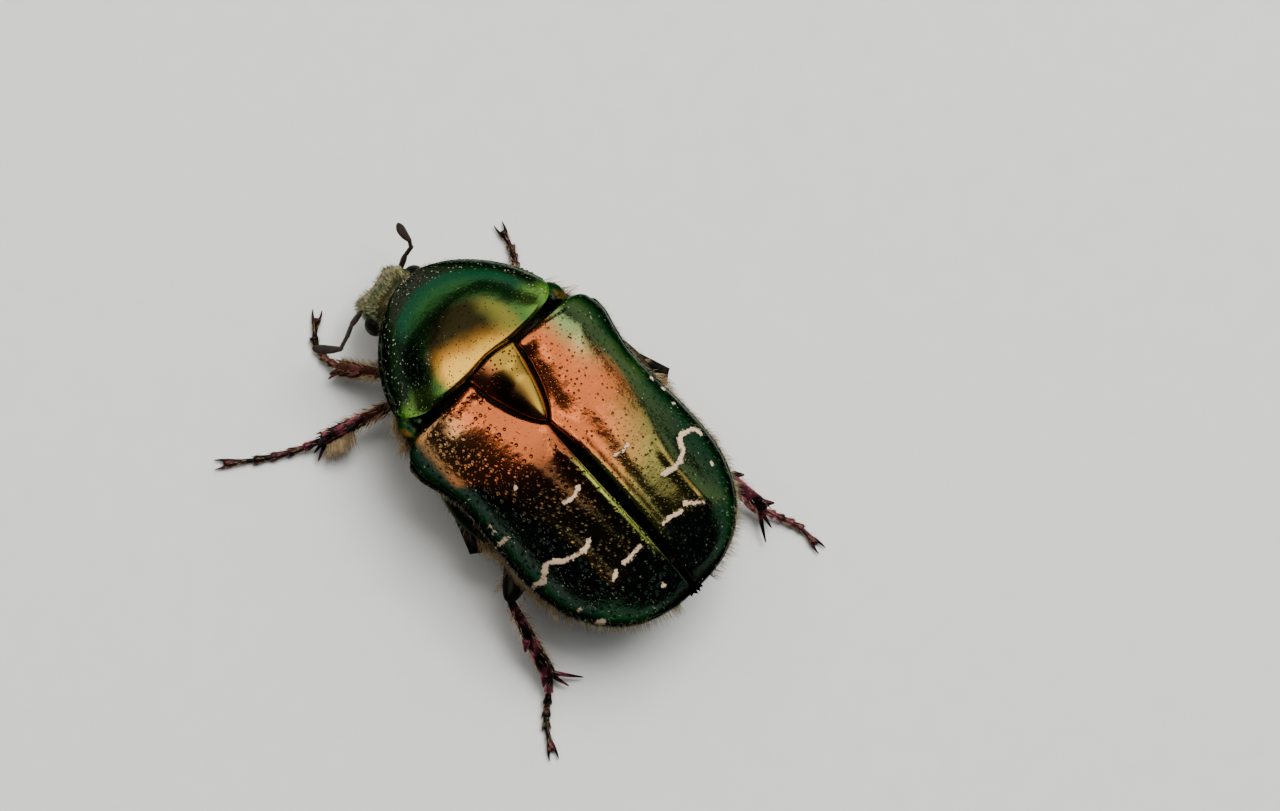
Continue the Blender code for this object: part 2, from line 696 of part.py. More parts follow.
STEM_RADII = (0.3 * MM, 0.25 * MM, 0.25 * MM)
STEM_OVERLAP = 0.2 * MM
LEAF_ROWS = in_metres([(0, 0.09, 0.14), (500, 0.13, 0.3), (1000, 0.11, 0.24)])
LEAF_OVERLAP = 0.12 * MM
LEAF_SPACING = 0.15 * MM


def make_antenna(word):
    """A bent stem of three pieces, and a club of three leaves side by side."""
    plan = ANTENNAE[word]
    stem = [Vector(p) * MM for p in plan["stem"]]
    club_end = Vector(plan["club_end"]) * MM
    pieces = []
    for radius, start, end in zip(STEM_RADII, stem, stem[1:]):
        length = (end - start).length + STEM_OVERLAP
        rows = [(0, radius * 0.8, radius * 0.8), (0.7, radius, radius), (1, radius, radius)]
        pieces.append(add_object("stem", limb(length, rows, 7, 5), None, frame_along(start, end)))
    club = club_end - stem[-1]
    frame = frame_along(stem[-1], club_end)
    for spread in (-1, 0, 1):
        fan = Matrix.Rotation(math.radians(4 * spread), 4, "Z")
        shift = Matrix.Translation((-LEAF_OVERLAP, spread * LEAF_SPACING, 0))
        leaf = limb(club.length + LEAF_OVERLAP, LEAF_ROWS, 7, 6)
        pieces.append(add_object("leaf", leaf, None, frame @ shift @ fan))
    antenna = fuse(pieces)
    antenna.name = f"{word}_antenna"
    antenna.data.materials.append(finish_material("antenna_brown"))
    NODES[antenna.name] = antenna
    clear_of(antenna, NODES["head"], NODES[f"{word}_eye"], NODES["prothorax"])


COXA_ROWS = in_metres([(0, 0.5, 0.5), (500, 0.6, 0.55), (1000, 0.42, 0.4)])
COXAE = (
    ("front", 1.5 * MM, ((0.85, -1.65, 3.1), (1.0, -1.85, 1.9)), (0, 1, 0)),
    ("middle", 1.7 * MM, ((0.55, 2.3, 2.45), (1.9, 2.15, 2.2)), (0, 0, 1)),
)


def make_coxae():
    """Cones in front, ovals in the middle, and broad plates with a sharp outer corner behind."""
    for side, word in ((1, "left"), (-1, "right")):
        for pair, length, (start, end), upward in COXAE:
            name = f"{pair}_{word}_coxa"
            ends = [Vector((side * x, y, z)) * MM for x, y, z in (start, end)]
            shape = limb(length, COXA_ROWS, 10, 8)
            NODES[name] = add_object(name, shape, "dark_body", frame_along(*ends, upward))
        name = f"hind_{word}_coxa"
        shape = loft(10, 12, lambda t, angle, s=side: hind_coxa_point(t, angle, s))
        NODES[name] = add_object(name, shape, "dark_body")


HIND_COXA_ROWS = in_metres([
    (0.45, 4.95, 0.42, 2.3, 0.4), (1.5, 5.1, 0.6, 2.35, 0.42), (3.2, 5.2, 0.68, 2.65, 0.4),
    (4.3, 5.1, 0.8, 3.0, 0.36), (4.8, 5.15, 0.85, 3.15, 0.32), (5.3, 5.45, 0.65, 3.3, 0.28),
    (5.7, 5.7, 0.35, 3.35, 0.25),
])


def hind_coxa_point(t, angle, side):
    """Rows give x, the middle y, half the length along y, the middle z and half the thickness."""
    share = (1 - math.cos(math.pi * t)) / 2
    first, last = HIND_COXA_ROWS[0][0], HIND_COXA_ROWS[-1][0]
    x = first + (last - first) * share
    y, half_length, z, half_thick = smooth_table(HIND_COXA_ROWS, x)
    cap = max(0.0, 1 - abs(2 * share - 1) ** 6) ** (1 / 6) if share < 0.5 else max(0.0, 1 - share**5)
    corner = 0.25 * MM * share**4
    return Vector((
        side * x,
        y + corner + half_length * cap * signed_power(math.cos(angle), 0.8),
        z + half_thick * cap * signed_power(math.sin(angle), 0.8),
    ))


FEMUR_ROWS = ((0, 0.6, 0.34), (0.45, 1.0, 0.4), (0.85, 0.75, 0.34), (1, 0.6, 0.3))


def make_femur(name, joints, width):
    hip, knee = Vector(joints["hip"]) * MM, Vector(joints["knee"]) * MM
    rows = [(share, part * width, thick * MM) for share, part, thick in FEMUR_ROWS]
    femur = limb((knee - hip).length, rows, 10, 8, 3.0)
    return add_object(name, femur, "dark_body", frame_along(hip, knee))


def spur_heading(joints, turn):
    """A level direction on the other side of the tibia from the foot; turn 1 mirrors the foot's."""
    knee, ankle, toe = Vector(joints["knee"]), Vector(joints["ankle"]), Vector(joints["foot"][0])
    leg = math.atan2(ankle.y - knee.y, ankle.x - knee.x)
    foot = math.atan2(toe.y - ankle.y, toe.x - ankle.x)
    away = (leg - foot + math.pi) % (2 * math.pi) - math.pi
    away = math.copysign(max(math.radians(28), min(math.radians(45), abs(away))), away) * turn
    return Vector((math.cos(leg + away), math.sin(leg + away), 0))


TIBIA_ROWS = in_metres([(0, 0.26, 0.26), (300, 0.27, 0.3), (800, 0.3, 0.4), (1000, 0.34, 0.46)])
TOOTH = (0.52 * MM, 0.22 * MM, 0.06 * MM)
TOOTH_ROOT = (0.12 * MM, 0.2 * MM)
TOOTH_LEAN = math.radians(-52)
SPUR_RADII = (0.15 * MM, 0.05 * MM)
SPUR_ROOT = 0.3 * MM
SPUR_TURNS = (1.4, 0.7)


def make_tibia(name, joints, pair, femur):
    """A flattened rod that widens to its end, with teeth on its outer edge and spurs at the tip."""
    knee, ankle = Vector(joints["knee"]) * MM, Vector(joints["ankle"]) * MM
    length = (ankle - knee).length
    outward = Vector((ankle.x, 0, 0)).normalized() + Vector((0, 0, 0.8))
    frame = frame_along(knee, ankle, outward)
    pieces = [add_object(name, limb(length, TIBIA_ROWS, 8, 8, 5.0), None, frame)]
    for share in TIBIA_TEETH[pair]:
        back, height = TOOTH_ROOT
        place = Matrix.Translation((share * length - back, 0, height))
        lean = Matrix.Rotation(TOOTH_LEAN, 4, "Y")
        pieces.append(add_object("tooth", cone(*TOOTH), None, frame @ place @ lean))
    for spur, turn in zip(SPUR_LENGTHS[pair], SPUR_TURNS):
        start = frame @ Vector((length - SPUR_ROOT, 0, 0))
        aim = spur_heading(joints, turn) * (spur * MM + SPUR_ROOT)
        end = Vector((start.x + aim.x, start.y + aim.y, SPUR_TIP_HEIGHT))
        rod = cone((end - start).length, *SPUR_RADII)
        pieces.append(add_object("spur", rod, None, frame_along(start, end)))
    tibia = fuse(pieces)
    tibia.data.materials.append(finish_material("violet_leg"))
    clear_of(tibia, femur)
    return tibia


FOOT_JOINT_ENDS = (0.0, 0.19, 0.36, 0.53, 0.7, 1.0)
FOOT_ROWS = ((0, 0.2), (0.75, 0.25), (1, 0.26))
FOOT_OVERLAP = 0.08 * MM
CLAW_LENGTH = 0.82 * MM
CLAW_ROWS = in_metres([(0, 0.16, 0.16), (500, 0.12, 0.13), (1000, 0.05, 0.05)])
CLAW_BEND = 0.12 * MM
CLAW_SPREAD = math.radians(26)
CLAW_FALL = math.radians(6)


def foot_path(joints):
    """Six points along the foot: the ankle, the ends of four short joints and of the long last one."""
    line = [Vector(joints["ankle"]) * MM] + [Vector(p) * MM for p in joints["foot"]]
    lengths = [(b - a).length for a, b in zip(line, line[1:])]
    total = sum(lengths)
    rows, run = [(0.0, *line[0])], 0.0
    for point, length in zip(line[1:], lengths):
        run += length
        rows.append((run / total, *point))
    return [Vector(smooth_table(rows, share)) for share in FOOT_JOINT_ENDS]


def make_tarsus(name, joints, tibia):
    """Five joints, each wider at its far end, and two curved claws, flat where they meet the floor."""
    path = foot_path(joints)
    pieces = []
    for index, (start, end) in enumerate(zip(path, path[1:])):
        length = (end - start).length + FOOT_OVERLAP
        rows = [(share, radius * MM, radius * MM) for share, radius in FOOT_ROWS]
        frame = frame_along(start, end) @ Matrix.Rotation(math.radians(30 * (index % 2)), 4, "X")
        pieces.append(add_object(name, limb(length, rows, 6, 4, 5.0), None, frame))
    claw_frame = frame_along(path[-2], Vector((path[-1].x, path[-1].y, path[-2].z)))
    claw_frame.translation = path[-1]
    for spread in (-1, 1):
        turn = Matrix.Rotation(CLAW_SPREAD * spread, 4, "Z") @ Matrix.Rotation(CLAW_FALL, 4, "Y")
        place = Matrix.Translation((-0.22 * MM, 0.11 * MM * spread, 0.03 * MM))
        claw = limb(CLAW_LENGTH, CLAW_ROWS, 6, 5, 4.0, -CLAW_BEND * spread)
        pieces.append(add_object("claw", claw, None, claw_frame @ place @ turn))
    tarsus = fuse(pieces)
    tarsus.data.transform(tarsus.matrix_world)
    tarsus.matrix_world = Matrix.Identity(4)
    tarsus.data = sliced(tarsus.data, [(Vector((0, 0, FLOOR)), Vector((0, 0, -1)))])
    tarsus.data.materials.append(finish_material("violet_leg"))
    clear_of(tarsus, tibia)
    return tarsus


def make_legs():
    for key, joints in FEET.items():
        pair, word = key.split("_")
        coxa = NODES[f"{key}_coxa"]
        femur = make_femur(f"{key}_femur", joints, FEMUR_WIDTHS[pair])
        clear_of(femur, coxa)
        tibia = make_tibia(f"{key}_tibia", joints, pair, femur)
        tarsus = make_tarsus(f"{key}_tarsus", joints, tibia)
        for node in (femur, tibia, tarsus):
            NODES[node.name] = node


def seat_legs():
    """The body's undersides are cut back to hold the coxae and the roots of the legs."""
    for key in FEET:
        coxa, femur = NODES[f"{key}_coxa"], NODES[f"{key}_femur"]
        body = NODES["prothorax"] if key.startswith("front") else NODES["hind_thorax"]
        clear_of(body, coxa, femur)
    for word in ("left", "right"):
        clear_of(NODES["abdomen"], NODES[f"hind_{word}_femur"])
        clear_of(NODES["hind_thorax"], NODES[f"{word}_elytron"])
        clear_of(NODES["abdomen"], NODES[f"{word}_elytron"])
        clear_of(NODES["pygidium"], NODES[f"{word}_elytron"])


def centre_beetle():
    """Moves the whole beetle so that the origin is on the floor under the middle of its box."""
    bpy.context.view_layer.update()
    graph = bpy.context.evaluated_depsgraph_get()
    corners = []
    for obj in NODES.values():
        evaluated = obj.evaluated_get(graph)
        mesh = evaluated.to_mesh()
        corners += [obj.matrix_world @ vert.co for vert in mesh.vertices]
        evaluated.to_mesh_clear()
    middle = [(min(c[i] for c in corners) + max(c[i] for c in corners)) / 2 for i in range(2)]
    root = bpy.data.objects.new("rose_chafer_origin", None)
    BEETLE.objects.link(root)
    for obj in NODES.values():
        obj.parent = root
    root.location = (-middle[0], -middle[1], FLOOR)


def main():
    for old in list(bpy.data.objects):
        bpy.data.objects.remove(old)
    bpy.context.scene.collection.children.link(BEETLE)
    bpy.context.scene.collection.children.link(CUTTERS)
    make_prothorax()
    make_elytra()
    make_scutellum()
    make_trunk()
    make_mesepimera()
    make_head()
    make_antenna("left")
    make_antenna("right")
    make_coxae()
    make_legs()
    seat_legs()
    for node in NODES.values():
        if not node.modifiers:
            without_slivers(node)
    centre_beetle()


BEETLE = bpy.data.collections.new("rose_chafer")
CUTTERS = bpy.data.collections.new("cutters")
NODES = {}

if __name__ == "__main__":
    main()
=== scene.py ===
import random
from math import acos, asin, atan2, copysign, cos, exp, hypot, pi, radians, sin

import bmesh
import bpy
import numpy as np
from mathutils import Matrix, Vector


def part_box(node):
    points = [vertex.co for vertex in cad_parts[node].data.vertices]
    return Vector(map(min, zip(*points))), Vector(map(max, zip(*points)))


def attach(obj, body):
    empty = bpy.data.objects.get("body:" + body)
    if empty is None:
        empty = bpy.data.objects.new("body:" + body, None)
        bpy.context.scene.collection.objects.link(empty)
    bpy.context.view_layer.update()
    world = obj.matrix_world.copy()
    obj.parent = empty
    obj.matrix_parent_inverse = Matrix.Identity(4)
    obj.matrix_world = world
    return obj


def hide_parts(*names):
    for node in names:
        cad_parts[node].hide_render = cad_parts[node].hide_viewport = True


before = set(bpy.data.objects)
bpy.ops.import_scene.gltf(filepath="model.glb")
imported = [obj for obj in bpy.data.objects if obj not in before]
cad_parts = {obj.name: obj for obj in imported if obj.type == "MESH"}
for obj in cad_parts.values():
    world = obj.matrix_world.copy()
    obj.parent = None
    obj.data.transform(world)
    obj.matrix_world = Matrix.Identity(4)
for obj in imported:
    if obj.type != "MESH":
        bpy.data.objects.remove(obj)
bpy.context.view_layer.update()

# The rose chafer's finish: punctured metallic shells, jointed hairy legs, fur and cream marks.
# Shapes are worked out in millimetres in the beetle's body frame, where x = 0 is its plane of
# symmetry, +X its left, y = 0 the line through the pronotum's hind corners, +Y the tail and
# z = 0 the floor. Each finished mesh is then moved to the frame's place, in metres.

SIDES = {"left": 1, "right": -1}
GAP, SEAM, SHELL_THICKNESS = 0.25, 0.04, 0.3

# Rows of a table start with a place or a share of a length, and smooth_table eases between them.
# The wing cases: half width, height of the side edge, height of the crown.
ELYTRA_FRONT, ELYTRA_END = 0.9, 12.75
SHOULDER_DROP = 0.55
ELYTRA_WIDTHS = [
    (0.85, 4.35), (1.3, 4.72), (2.1, 4.9), (3.1, 4.68), (4.2, 4.46),
    (6.0, 4.54), (7.4, 4.62), (9.0, 4.6), (13.0, 4.6),
]
ELYTRA_EDGE = [(0.9, 4.8), (2.2, 4.72), (4.2, 5.0), (6.2, 4.7), (9.0, 4.5), (12.8, 4.9)]
ELYTRA_CROWN = [(0.2, 7.55), (2.5, 7.8), (5.0, 7.9), (8.0, 7.75), (12.8, 7.3)]
ROUNDING_START = 8.0
DOME_SQUARENESS = 2.5
# Lines along a wing case (height, how far from the suture, half width) and its two round bumps
# (height, how far from the suture, y, half width).
SEAM_LINES = ((0.13, 0.42, 0.24), (-0.04, 0.95, 0.5))
ELYTRA_BUMPS = ((0.22, 3.5, 2.1, 0.8), (0.20, 2.5, 10.6, 0.7))

PRONOTUM_FRONT = -3.98
PRONOTUM_WIDTH, PRONOTUM_BACK = 3.9, 0.86
PRONOTUM_CROWN = [
    (-4.0, 4.75), (-3.5, 5.35), (-3.0, 5.9), (-2.5, 6.4), (-2.0, 6.83), (-1.5, 7.13), (-1.0, 7.36),
    (-0.5, 7.52), (0.0, 7.6),
]
PRONOTUM_EDGE = [(-4.0, 4.8), (-3.5, 4.45), (-2.6, 4.15), (-1.5, 4.25), (0.0, 4.7)]
PROTHORAX_DEPTH = [(-4.0, 0.4), (-3.0, 1.3), (-2.0, 2.0), (0.0, 2.2)]
HIND_EDGE_BULGE, HIND_EDGE_NOTCH, NOTCH_WIDTH = 0.68, 0.12, 0.75
JOINT_LEAN, JOINT_LOW, JOINT_HIGH, JOINT_REACH = 0.7, 3.0, 7.0, 3.0

SCUTELLUM_WIDTH, SCUTELLUM_TIP = 1.18, 3.95

# The trunk: y, half width, height of its side line, height of the belly.
TRUNK_END, TAIL_ROUNDING, TAIL_PLATE = 12.7, 10.6, 11.75
TRUNK_LEVELS = [
    (0.0, 3.9, 4.2, 2.5), (1.2, 4.4, 4.1, 2.3), (3.0, 4.68, 3.9, 2.1), (4.2, 4.9, 3.6, 2.1),
    (5.3, 4.85, 3.5, 2.2), (6.6, 4.5, 3.7, 2.3), (8.5, 4.5, 3.75, 2.35), (10.5, 4.4, 3.85, 2.5),
    (12.7, 4.3, 4.2, 2.8),
]
VENTRITE_GROOVES = (6.0, 6.9, 7.85, 8.8, 9.75, 10.7)

HEAD_PLACE, HEAD_PITCH, HEAD_YAW = Vector((0.74, -3.6, 3.4)), 60, 9
HEAD_LENGTH, HEAD_ORIGIN = 2.78, 0.31
HEAD_ROWS = [
    (0.0, 1.0, 0.8), (0.25, 1.32, 0.92), (0.42, 1.3, 0.9), (0.58, 1.12, 0.66), (0.8, 1.1, 0.42),
    (1.0, 1.0, 0.28),
]
EYE_PLACE, EYE_RADIUS = Vector((1.22, 0.0, 0.05)), 0.46

# Each leg's hip, knee and ankle, and three points along its foot.
LEGS = {
    "front_left": [
        (1.35, -1.8, 2.15), (3.0, -1.9, 2.45), (3.91, -3.29, 0.75),
        (4.1, -3.95, 0.38), (3.95, -4.75, 0.25), (3.3, -5.35, 0.22),
    ],
    "front_right": [
        (-1.35, -1.8, 2.15), (-3.15, -1.75, 2.45), (-3.75, -0.95, 0.75),
        (-4.05, -1.5, 0.4), (-4.45, -2.2, 0.26), (-4.62, -2.85, 0.22),
    ],
    "middle_left": [
        (1.95, 2.0, 2.0), (3.45, -0.7, 2.5), (6.4, -1.66, 0.75),
        (7.3, -2.0, 0.38), (8.6, -2.7, 0.25), (9.85, -3.6, 0.22),
    ],
    "middle_right": [
        (-1.95, 2.0, 2.0), (-4.1, 3.2, 2.4), (-4.55, 5.7, 0.75),
        (-4.4, 6.5, 0.38), (-4.0, 7.6, 0.25), (-3.5, 8.5, 0.22),
    ],
    "hind_left": [
        (2.0, 6.2, 2.0), (5.45, 8.06, 3.0), (6.22, 11.47, 0.8),
        (6.93, 12.1, 0.38), (7.6, 12.75, 0.26), (8.1, 13.6, 0.22),
    ],
    "hind_right": [
        (-2.0, 6.2, 2.0), (-4.1, 8.7, 2.75), (-4.6, 12.4, 0.8),
        (-4.95, 13.1, 0.38), (-5.3, 14.0, 0.26), (-5.3, 14.8, 0.22),
    ],
}
LEGS = {name: [Vector(point) for point in points] for name, points in LEGS.items()}

FEMUR_WIDTHS = {"front": 0.5, "middle": 0.55, "hind": 0.68}
FEMUR_ROWS = ((0, 0.6, 0.34), (0.45, 1.0, 0.4), (0.85, 0.75, 0.34), (1, 0.6, 0.3))
TIBIA_ROWS = [(0, 0.2, 0.2), (0.3, 0.23, 0.25), (0.8, 0.27, 0.36), (1, 0.33, 0.45)]
TIBIA_TEETH = {"front": (0.5, 0.72, 0.94), "middle": (0.55, 0.95), "hind": (0.5, 0.95)}
SPUR_LENGTHS = {"front": (0.5,), "middle": (0.75, 0.55), "hind": (1.2, 0.75)}
SPUR_TIP_HEIGHT = 0.4
COXAE = {
    "front": (1.5, (0.85, -1.65, 3.1), (1.0, -1.85, 1.9)),
    "middle": (1.7, (0.55, 2.3, 2.45), (1.9, 2.15, 2.2)),
}
COXA_ROWS = [(0, 0.5, 0.5), (0.5, 0.6, 0.55), (1.0, 0.42, 0.4)]
# x, y, half length, z and half thickness, from the midline out.
HIND_COXA_ROWS = [
    (0.45, 4.95, 0.42, 2.3, 0.4), (1.5, 5.1, 0.6, 2.35, 0.42), (3.2, 5.2, 0.68, 2.65, 0.4),
    (4.3, 5.0, 1.1, 3.05, 0.36), (4.75, 5.0, 1.2, 3.2, 0.32), (5.1, 5.3, 0.9, 3.35, 0.28),
    (5.42, 5.6, 0.5, 3.4, 0.24),
]

# Each feeler's stem, and the end of its club.
ANTENNAE = {
    "left": [
        (2.2, -4.2, 3.15), (2.65, -4.1, 3.45), (3.1, -3.88, 3.75), (3.65, -3.68, 3.8), (4.42, -4.46, 3.6),
    ],
    "right": [
        (-0.4, -4.5, 3.1), (-0.75, -4.68, 3.4), (-1.12, -4.75, 3.65), (-1.27, -5.0, 3.75), (-1.4, -5.8, 3.7),
    ],
}

# The cream marks: (half width, points x and y) on each wing case.
CREAM_MARKS = {
    "left": [
        (0.09, [(1.95, 8.45), (2.29, 8.6), (2.69, 8.57), (3.24, 8.32), (3.68, 7.97), (4.0, 8.17),
                (4.24, 8.46), (4.5, 8.3)]),
        (0.075, [(0.88, 6.69), (1.3, 6.78), (1.71, 6.72)]),
        (0.075, [(0.64, 9.93), (1.1, 10.02), (1.56, 10.01)]),
        (0.075, [(1.97, 10.02), (2.34, 10.19)]),
        (0.075, [(2.62, 4.94), (2.68, 4.98)]),
        (0.075, [(4.13, 6.24), (4.45, 6.19)]),
        (0.06, [(4.31, 5.7), (4.32, 5.72)]),
        (0.05, [(4.28, 5.43), (4.29, 5.44)]),
        (0.075, [(3.74, 11.04), (3.5, 11.18)]),
        (0.06, [(3.88, 10.18), (3.9, 10.2)]),
        (0.06, [(0.9, 11.7), (0.98, 11.72)]),
    ],
    "right": [
        (0.095, [(-4.22, 8.35), (-4.1, 8.05), (-3.5, 7.9), (-3.25, 8.1), (-3.1, 8.4), (-2.73, 8.64),
                (-2.29, 8.62), (-1.89, 8.49)]),
        (0.06, [(-1.67, 6.71), (-1.4, 6.8), (-1.03, 6.74)]),
        (0.075, [(-1.81, 9.94), (-2.05, 10.2), (-2.3, 10.36)]),
        (0.075, [(-0.58, 9.91), (-1.1, 9.97), (-1.48, 10.07)]),
        (0.06, [(-4.27, 5.46), (-4.28, 5.5)]),
        (0.06, [(-4.33, 6.12), (-4.34, 6.14)]),
        (0.05, [(-4.21, 6.79), (-4.22, 6.8)]),
        (0.06, [(-2.74, 4.9), (-2.78, 4.94)]),
        (0.05, [(-3.71, 9.52), (-3.71, 9.55)]),
    ],
}

# The photograph's view, aimed at a place on the body frame in millimetres; its distance and width in metres.
VIEW_TARGET, VIEW_RIGHT, VIEW_TILT = (-3.43, 5.97, 4.3), (-0.734, 0.679, 0), 6.7
VIEW_DISTANCE, VIEW_WIDTH = 0.2, 0.0504
PATTERN_SHIFT = (7.3, 2.1, 4.4)
PATCH_SIZE = 0.003

LEFT_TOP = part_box("left_elytron")[1]
SHIELD_LOW, SHIELD_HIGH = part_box("scutellum")
BODY_ORIGIN = Vector(((SHIELD_LOW.x + SHIELD_HIGH.x) / 2, LEFT_TOP.y - (ELYTRA_END - 0.02) / 1000, 0))

CHANCE = random.Random(17)
DICE = np.random.default_rng(17)

# How many hairs are tried: on the head, the pronotum (fringe, top), the trunk (flanks, beside the
# hind legs, behind the pronotum, underneath), the wing cases (fringe, disc) and each leg.
HEAD_HAIRS, PRONOTUM_HAIRS = 2000, (1300, 900)
TRUNK_HAIRS, WING_CASE_HAIRS = (4200, 2400, 420, 1500), (1500, 700)
THIGH_HAIRS, SHIN_HAIRS = 240, {"front": 480, "middle": 260, "hind": 260}
SHIN_BRUSH, FOOT_JOINT_HAIRS = 300, 34


def smooth_table(rows, y):
    """The row of a table at y, eased from one row to the next."""
    if y <= rows[0][0]:
        return rows[0][1:]
    if y > rows[-1][0]:
        return rows[-1][1:]
    i = 0
    while y > rows[i + 1][0]:
        i += 1
    before, low, high, after = rows[max(0, i - 1)], rows[i], rows[i + 1], rows[min(i + 2, len(rows) - 1)]
    span = high[0] - low[0]
    t = (y - low[0]) / span
    values = []
    for first, a, b, last in zip(before[1:], low[1:], high[1:], after[1:]):
        slope_a = (b - first) / (high[0] - before[0])
        slope_b = (last - a) / (after[0] - low[0])
        values.append(
            (2 * t**3 - 3 * t**2 + 1) * a + (t**3 - 2 * t**2 + t) * span * slope_a
            + (3 * t**2 - 2 * t**3) * b + (t**3 - t**2) * span * slope_b
        )
    return tuple(values)


def eased(rows, y):
    return smooth_table(rows, y)[0]


def clamp(value):
    return min(1.0, max(0.0, value))


def rounded_end(y, start, end, roundness):
    """1 at start, falling to 0 at end along a rounded curve."""
    share = clamp((y - start) / (end - start))
    return max(0.0, 1 - share**roundness) ** (1 / roundness)


def both_ends(share, roundness):
    """1 along a form, rounded off to 0 at both its ends."""
    return rounded_end(abs(2 * share - 1), 0.0, 1.0, roundness)


def from_pole(t):
    """The share of a form's length for t, which runs from pole to pole: rings lie closer at the ends."""
    return (1 - cos(pi * t)) / 2


def signed_power(value, power):
    return copysign(abs(value) ** power, value)


def bump(distance, width):
    return exp(-((distance / width) ** 2))


def ramp(value, low, high):
    """0 below low, 1 above high, eased between."""
    t = clamp((value - low) / (high - low))
    return t * t * (3 - 2 * t)


def stretch(y, rise, full, fall, gone):
    """1 from full to fall, eased to 0 at rise and at gone."""
    return ramp(y, rise, full) * (1 - ramp(y, fall, gone))


def hind_edge(x):
    """The pronotum's hind edge: bulging, with a notch in front of the scutellum."""
    bulge = HIND_EDGE_BULGE * rounded_end(abs(x), 0.0, PRONOTUM_WIDTH, 3.0)
    return bulge - HIND_EDGE_NOTCH * bump(x, NOTCH_WIDTH)


def joint_lean(z):
    """How far the joint behind the pronotum leans forward at a height."""
    return JOINT_LEAN * clamp((JOINT_HIGH - z) / (JOINT_HIGH - JOINT_LOW))


def elytra_width(y):
    return eased(ELYTRA_WIDTHS, y) * rounded_end(y, ROUNDING_START, ELYTRA_END, 2.2)


def elytra_levels(y):
    """The height of the wing cases' side edge, and how far their crown stands above it."""
    edge = eased(ELYTRA_EDGE, y)
    return edge, (eased(ELYTRA_CROWN, y) - edge) * rounded_end(y, ROUNDING_START - 1, ELYTRA_END, 2.1)


def elytra_relief(x, y):
    """The ribs and bumps of a wing case and its dip beside the scutellum."""
    across = abs(x)
    rib = 3.4 - 0.95 * ramp(y, 4.0, 9.0)
    relief = 0.13 * bump(across - rib, 0.32) * stretch(y, 5.5, 8.5, 10.0, 11.2)
    for height, place, width in SEAM_LINES + ((0.03, 0.5 * rib, 0.3),):
        relief += height * bump(across - place, width) * stretch(y, 3.8, 5.5, 10.5, 12.3)
    for height, place, start, width in ELYTRA_BUMPS:
        relief += height * bump(hypot(across - place, y - start), width)
    return relief - 0.36 * bump(across - 1.25 + 0.2 * y, 0.72) * stretch(y, 1.0, 1.8, 3.9, 5.4)


def dome_point(side, share, y, inner):
    """A point of the wing case, from x = inner (share 0) to its side edge (share 1)."""
    width = elytra_width(y)
    edge, height = elytra_levels(y)
    if width <= inner:
        return Vector((side * inner, y, edge))
    start = asin((inner / width) ** (DOME_SQUARENESS / 2))
    angle = start + (pi / 2 - start) * share
    x = width * sin(angle) ** (2 / DOME_SQUARENESS)
    lift = cos(angle) ** (2 / DOME_SQUARENESS) if share < 1 else 0.0
    z = edge + height * lift + elytra_relief(x, y) * min(1.0, 2 * lift)
    return Vector((side * x, y, z))


def shield_width(y):
    start = hind_edge(0)
    share = (y - start) / (SCUTELLUM_TIP - start)
    return SCUTELLUM_WIDTH * (1 - max(0.0, share) ** 1.5) ** 0.7 if share < 1 else 0.0


def closed_form(rings, around, surface):
    """A closed bmesh from a sphere: surface(t, angle) places its points, t running from pole to pole."""
    bm = bmesh.new()
    bmesh.ops.create_uvsphere(bm, u_segments=around, v_segments=rings, radius=1)
    for vert in bm.verts:
        t = acos(max(-1.0, min(1.0, vert.co.z))) / pi
        vert.co = surface(t, atan2(vert.co.y, vert.co.x))
    bmesh.ops.recalc_face_normals(bm, faces=bm.faces)
    if bm.calc_volume(signed=True) < 0:
        bmesh.ops.reverse_faces(bm, faces=bm.faces)
    return bm


def limb(length, rows, around=20, rings=20, blunt=3.5, bend=0.0, ridge=0.0, curve=0.0):
    """A closed tapered form along +X: rows give (share of length, half width, half thickness)."""

    def surface(t, angle):
        share = from_pole(t)
        width, thick = smooth_table(rows, share)
        cap = both_ends(share, blunt)
        swell = cap * (1 + ridge * cos(4 * angle) * cap)
        y = width * swell * cos(angle) + bend * sin(pi * share) + curve * share**2
        return Vector((share * length, y, thick * swell * sin(angle)))

    return closed_form(rings, around, surface)


def round_rows(*rows):
    """Rows for a limb that is as thick as it is wide."""
    return [(share, radius, radius) for share, radius in rows]


def thorn(length, base, tip, curve=0.0):
    """A closed pointed form along +X, curving towards +Y."""
    return limb(length, round_rows((0, base), (0.5, (base + tip) / 2), (1, tip)), 10, 10, 6, curve=curve)


def unit(x, y, z):
    return Vector((x, y, z)).normalized()


def axes_at(place, *axes):
    """A matrix at a place, with its axes along three directions."""
    matrix = Matrix(axes).transposed().to_4x4()
    matrix.translation = place
    return matrix


def frame_along(start, end, upward=(0, 0, 1)):
    """A matrix whose +X runs from start towards end and whose +Z leans towards upward."""
    along = (Vector(end) - Vector(start)).normalized()
    side = Vector(upward).cross(along).normalized()
    return axes_at(start, along, side, along.cross(side))


def shift(x, y, z):
    return Matrix.Translation((x, y, z))


def turn(degrees, axis):
    return Matrix.Rotation(radians(degrees), 4, axis)


def moved(bm, matrix):
    bmesh.ops.transform(bm, matrix=matrix, verts=bm.verts)
    return bm


def mesh_of(bm):
    """Makes a mesh of a bmesh and frees it."""
    mesh = bpy.data.meshes.new("piece")
    bm.to_mesh(mesh)
    bm.free()
    return mesh


def one_mesh(*forms):
    """Joins bmesh forms into one mesh and frees them."""
    whole = bmesh.new()
    for form in forms:
        part = mesh_of(form)
        whole.from_mesh(part)
        bpy.data.meshes.remove(part)
    return mesh_of(whole)


def linked(name, data):
    """A new object in the scene."""
    thing = bpy.data.objects.new(name, data)
    bpy.context.scene.collection.objects.link(thing)
    return thing


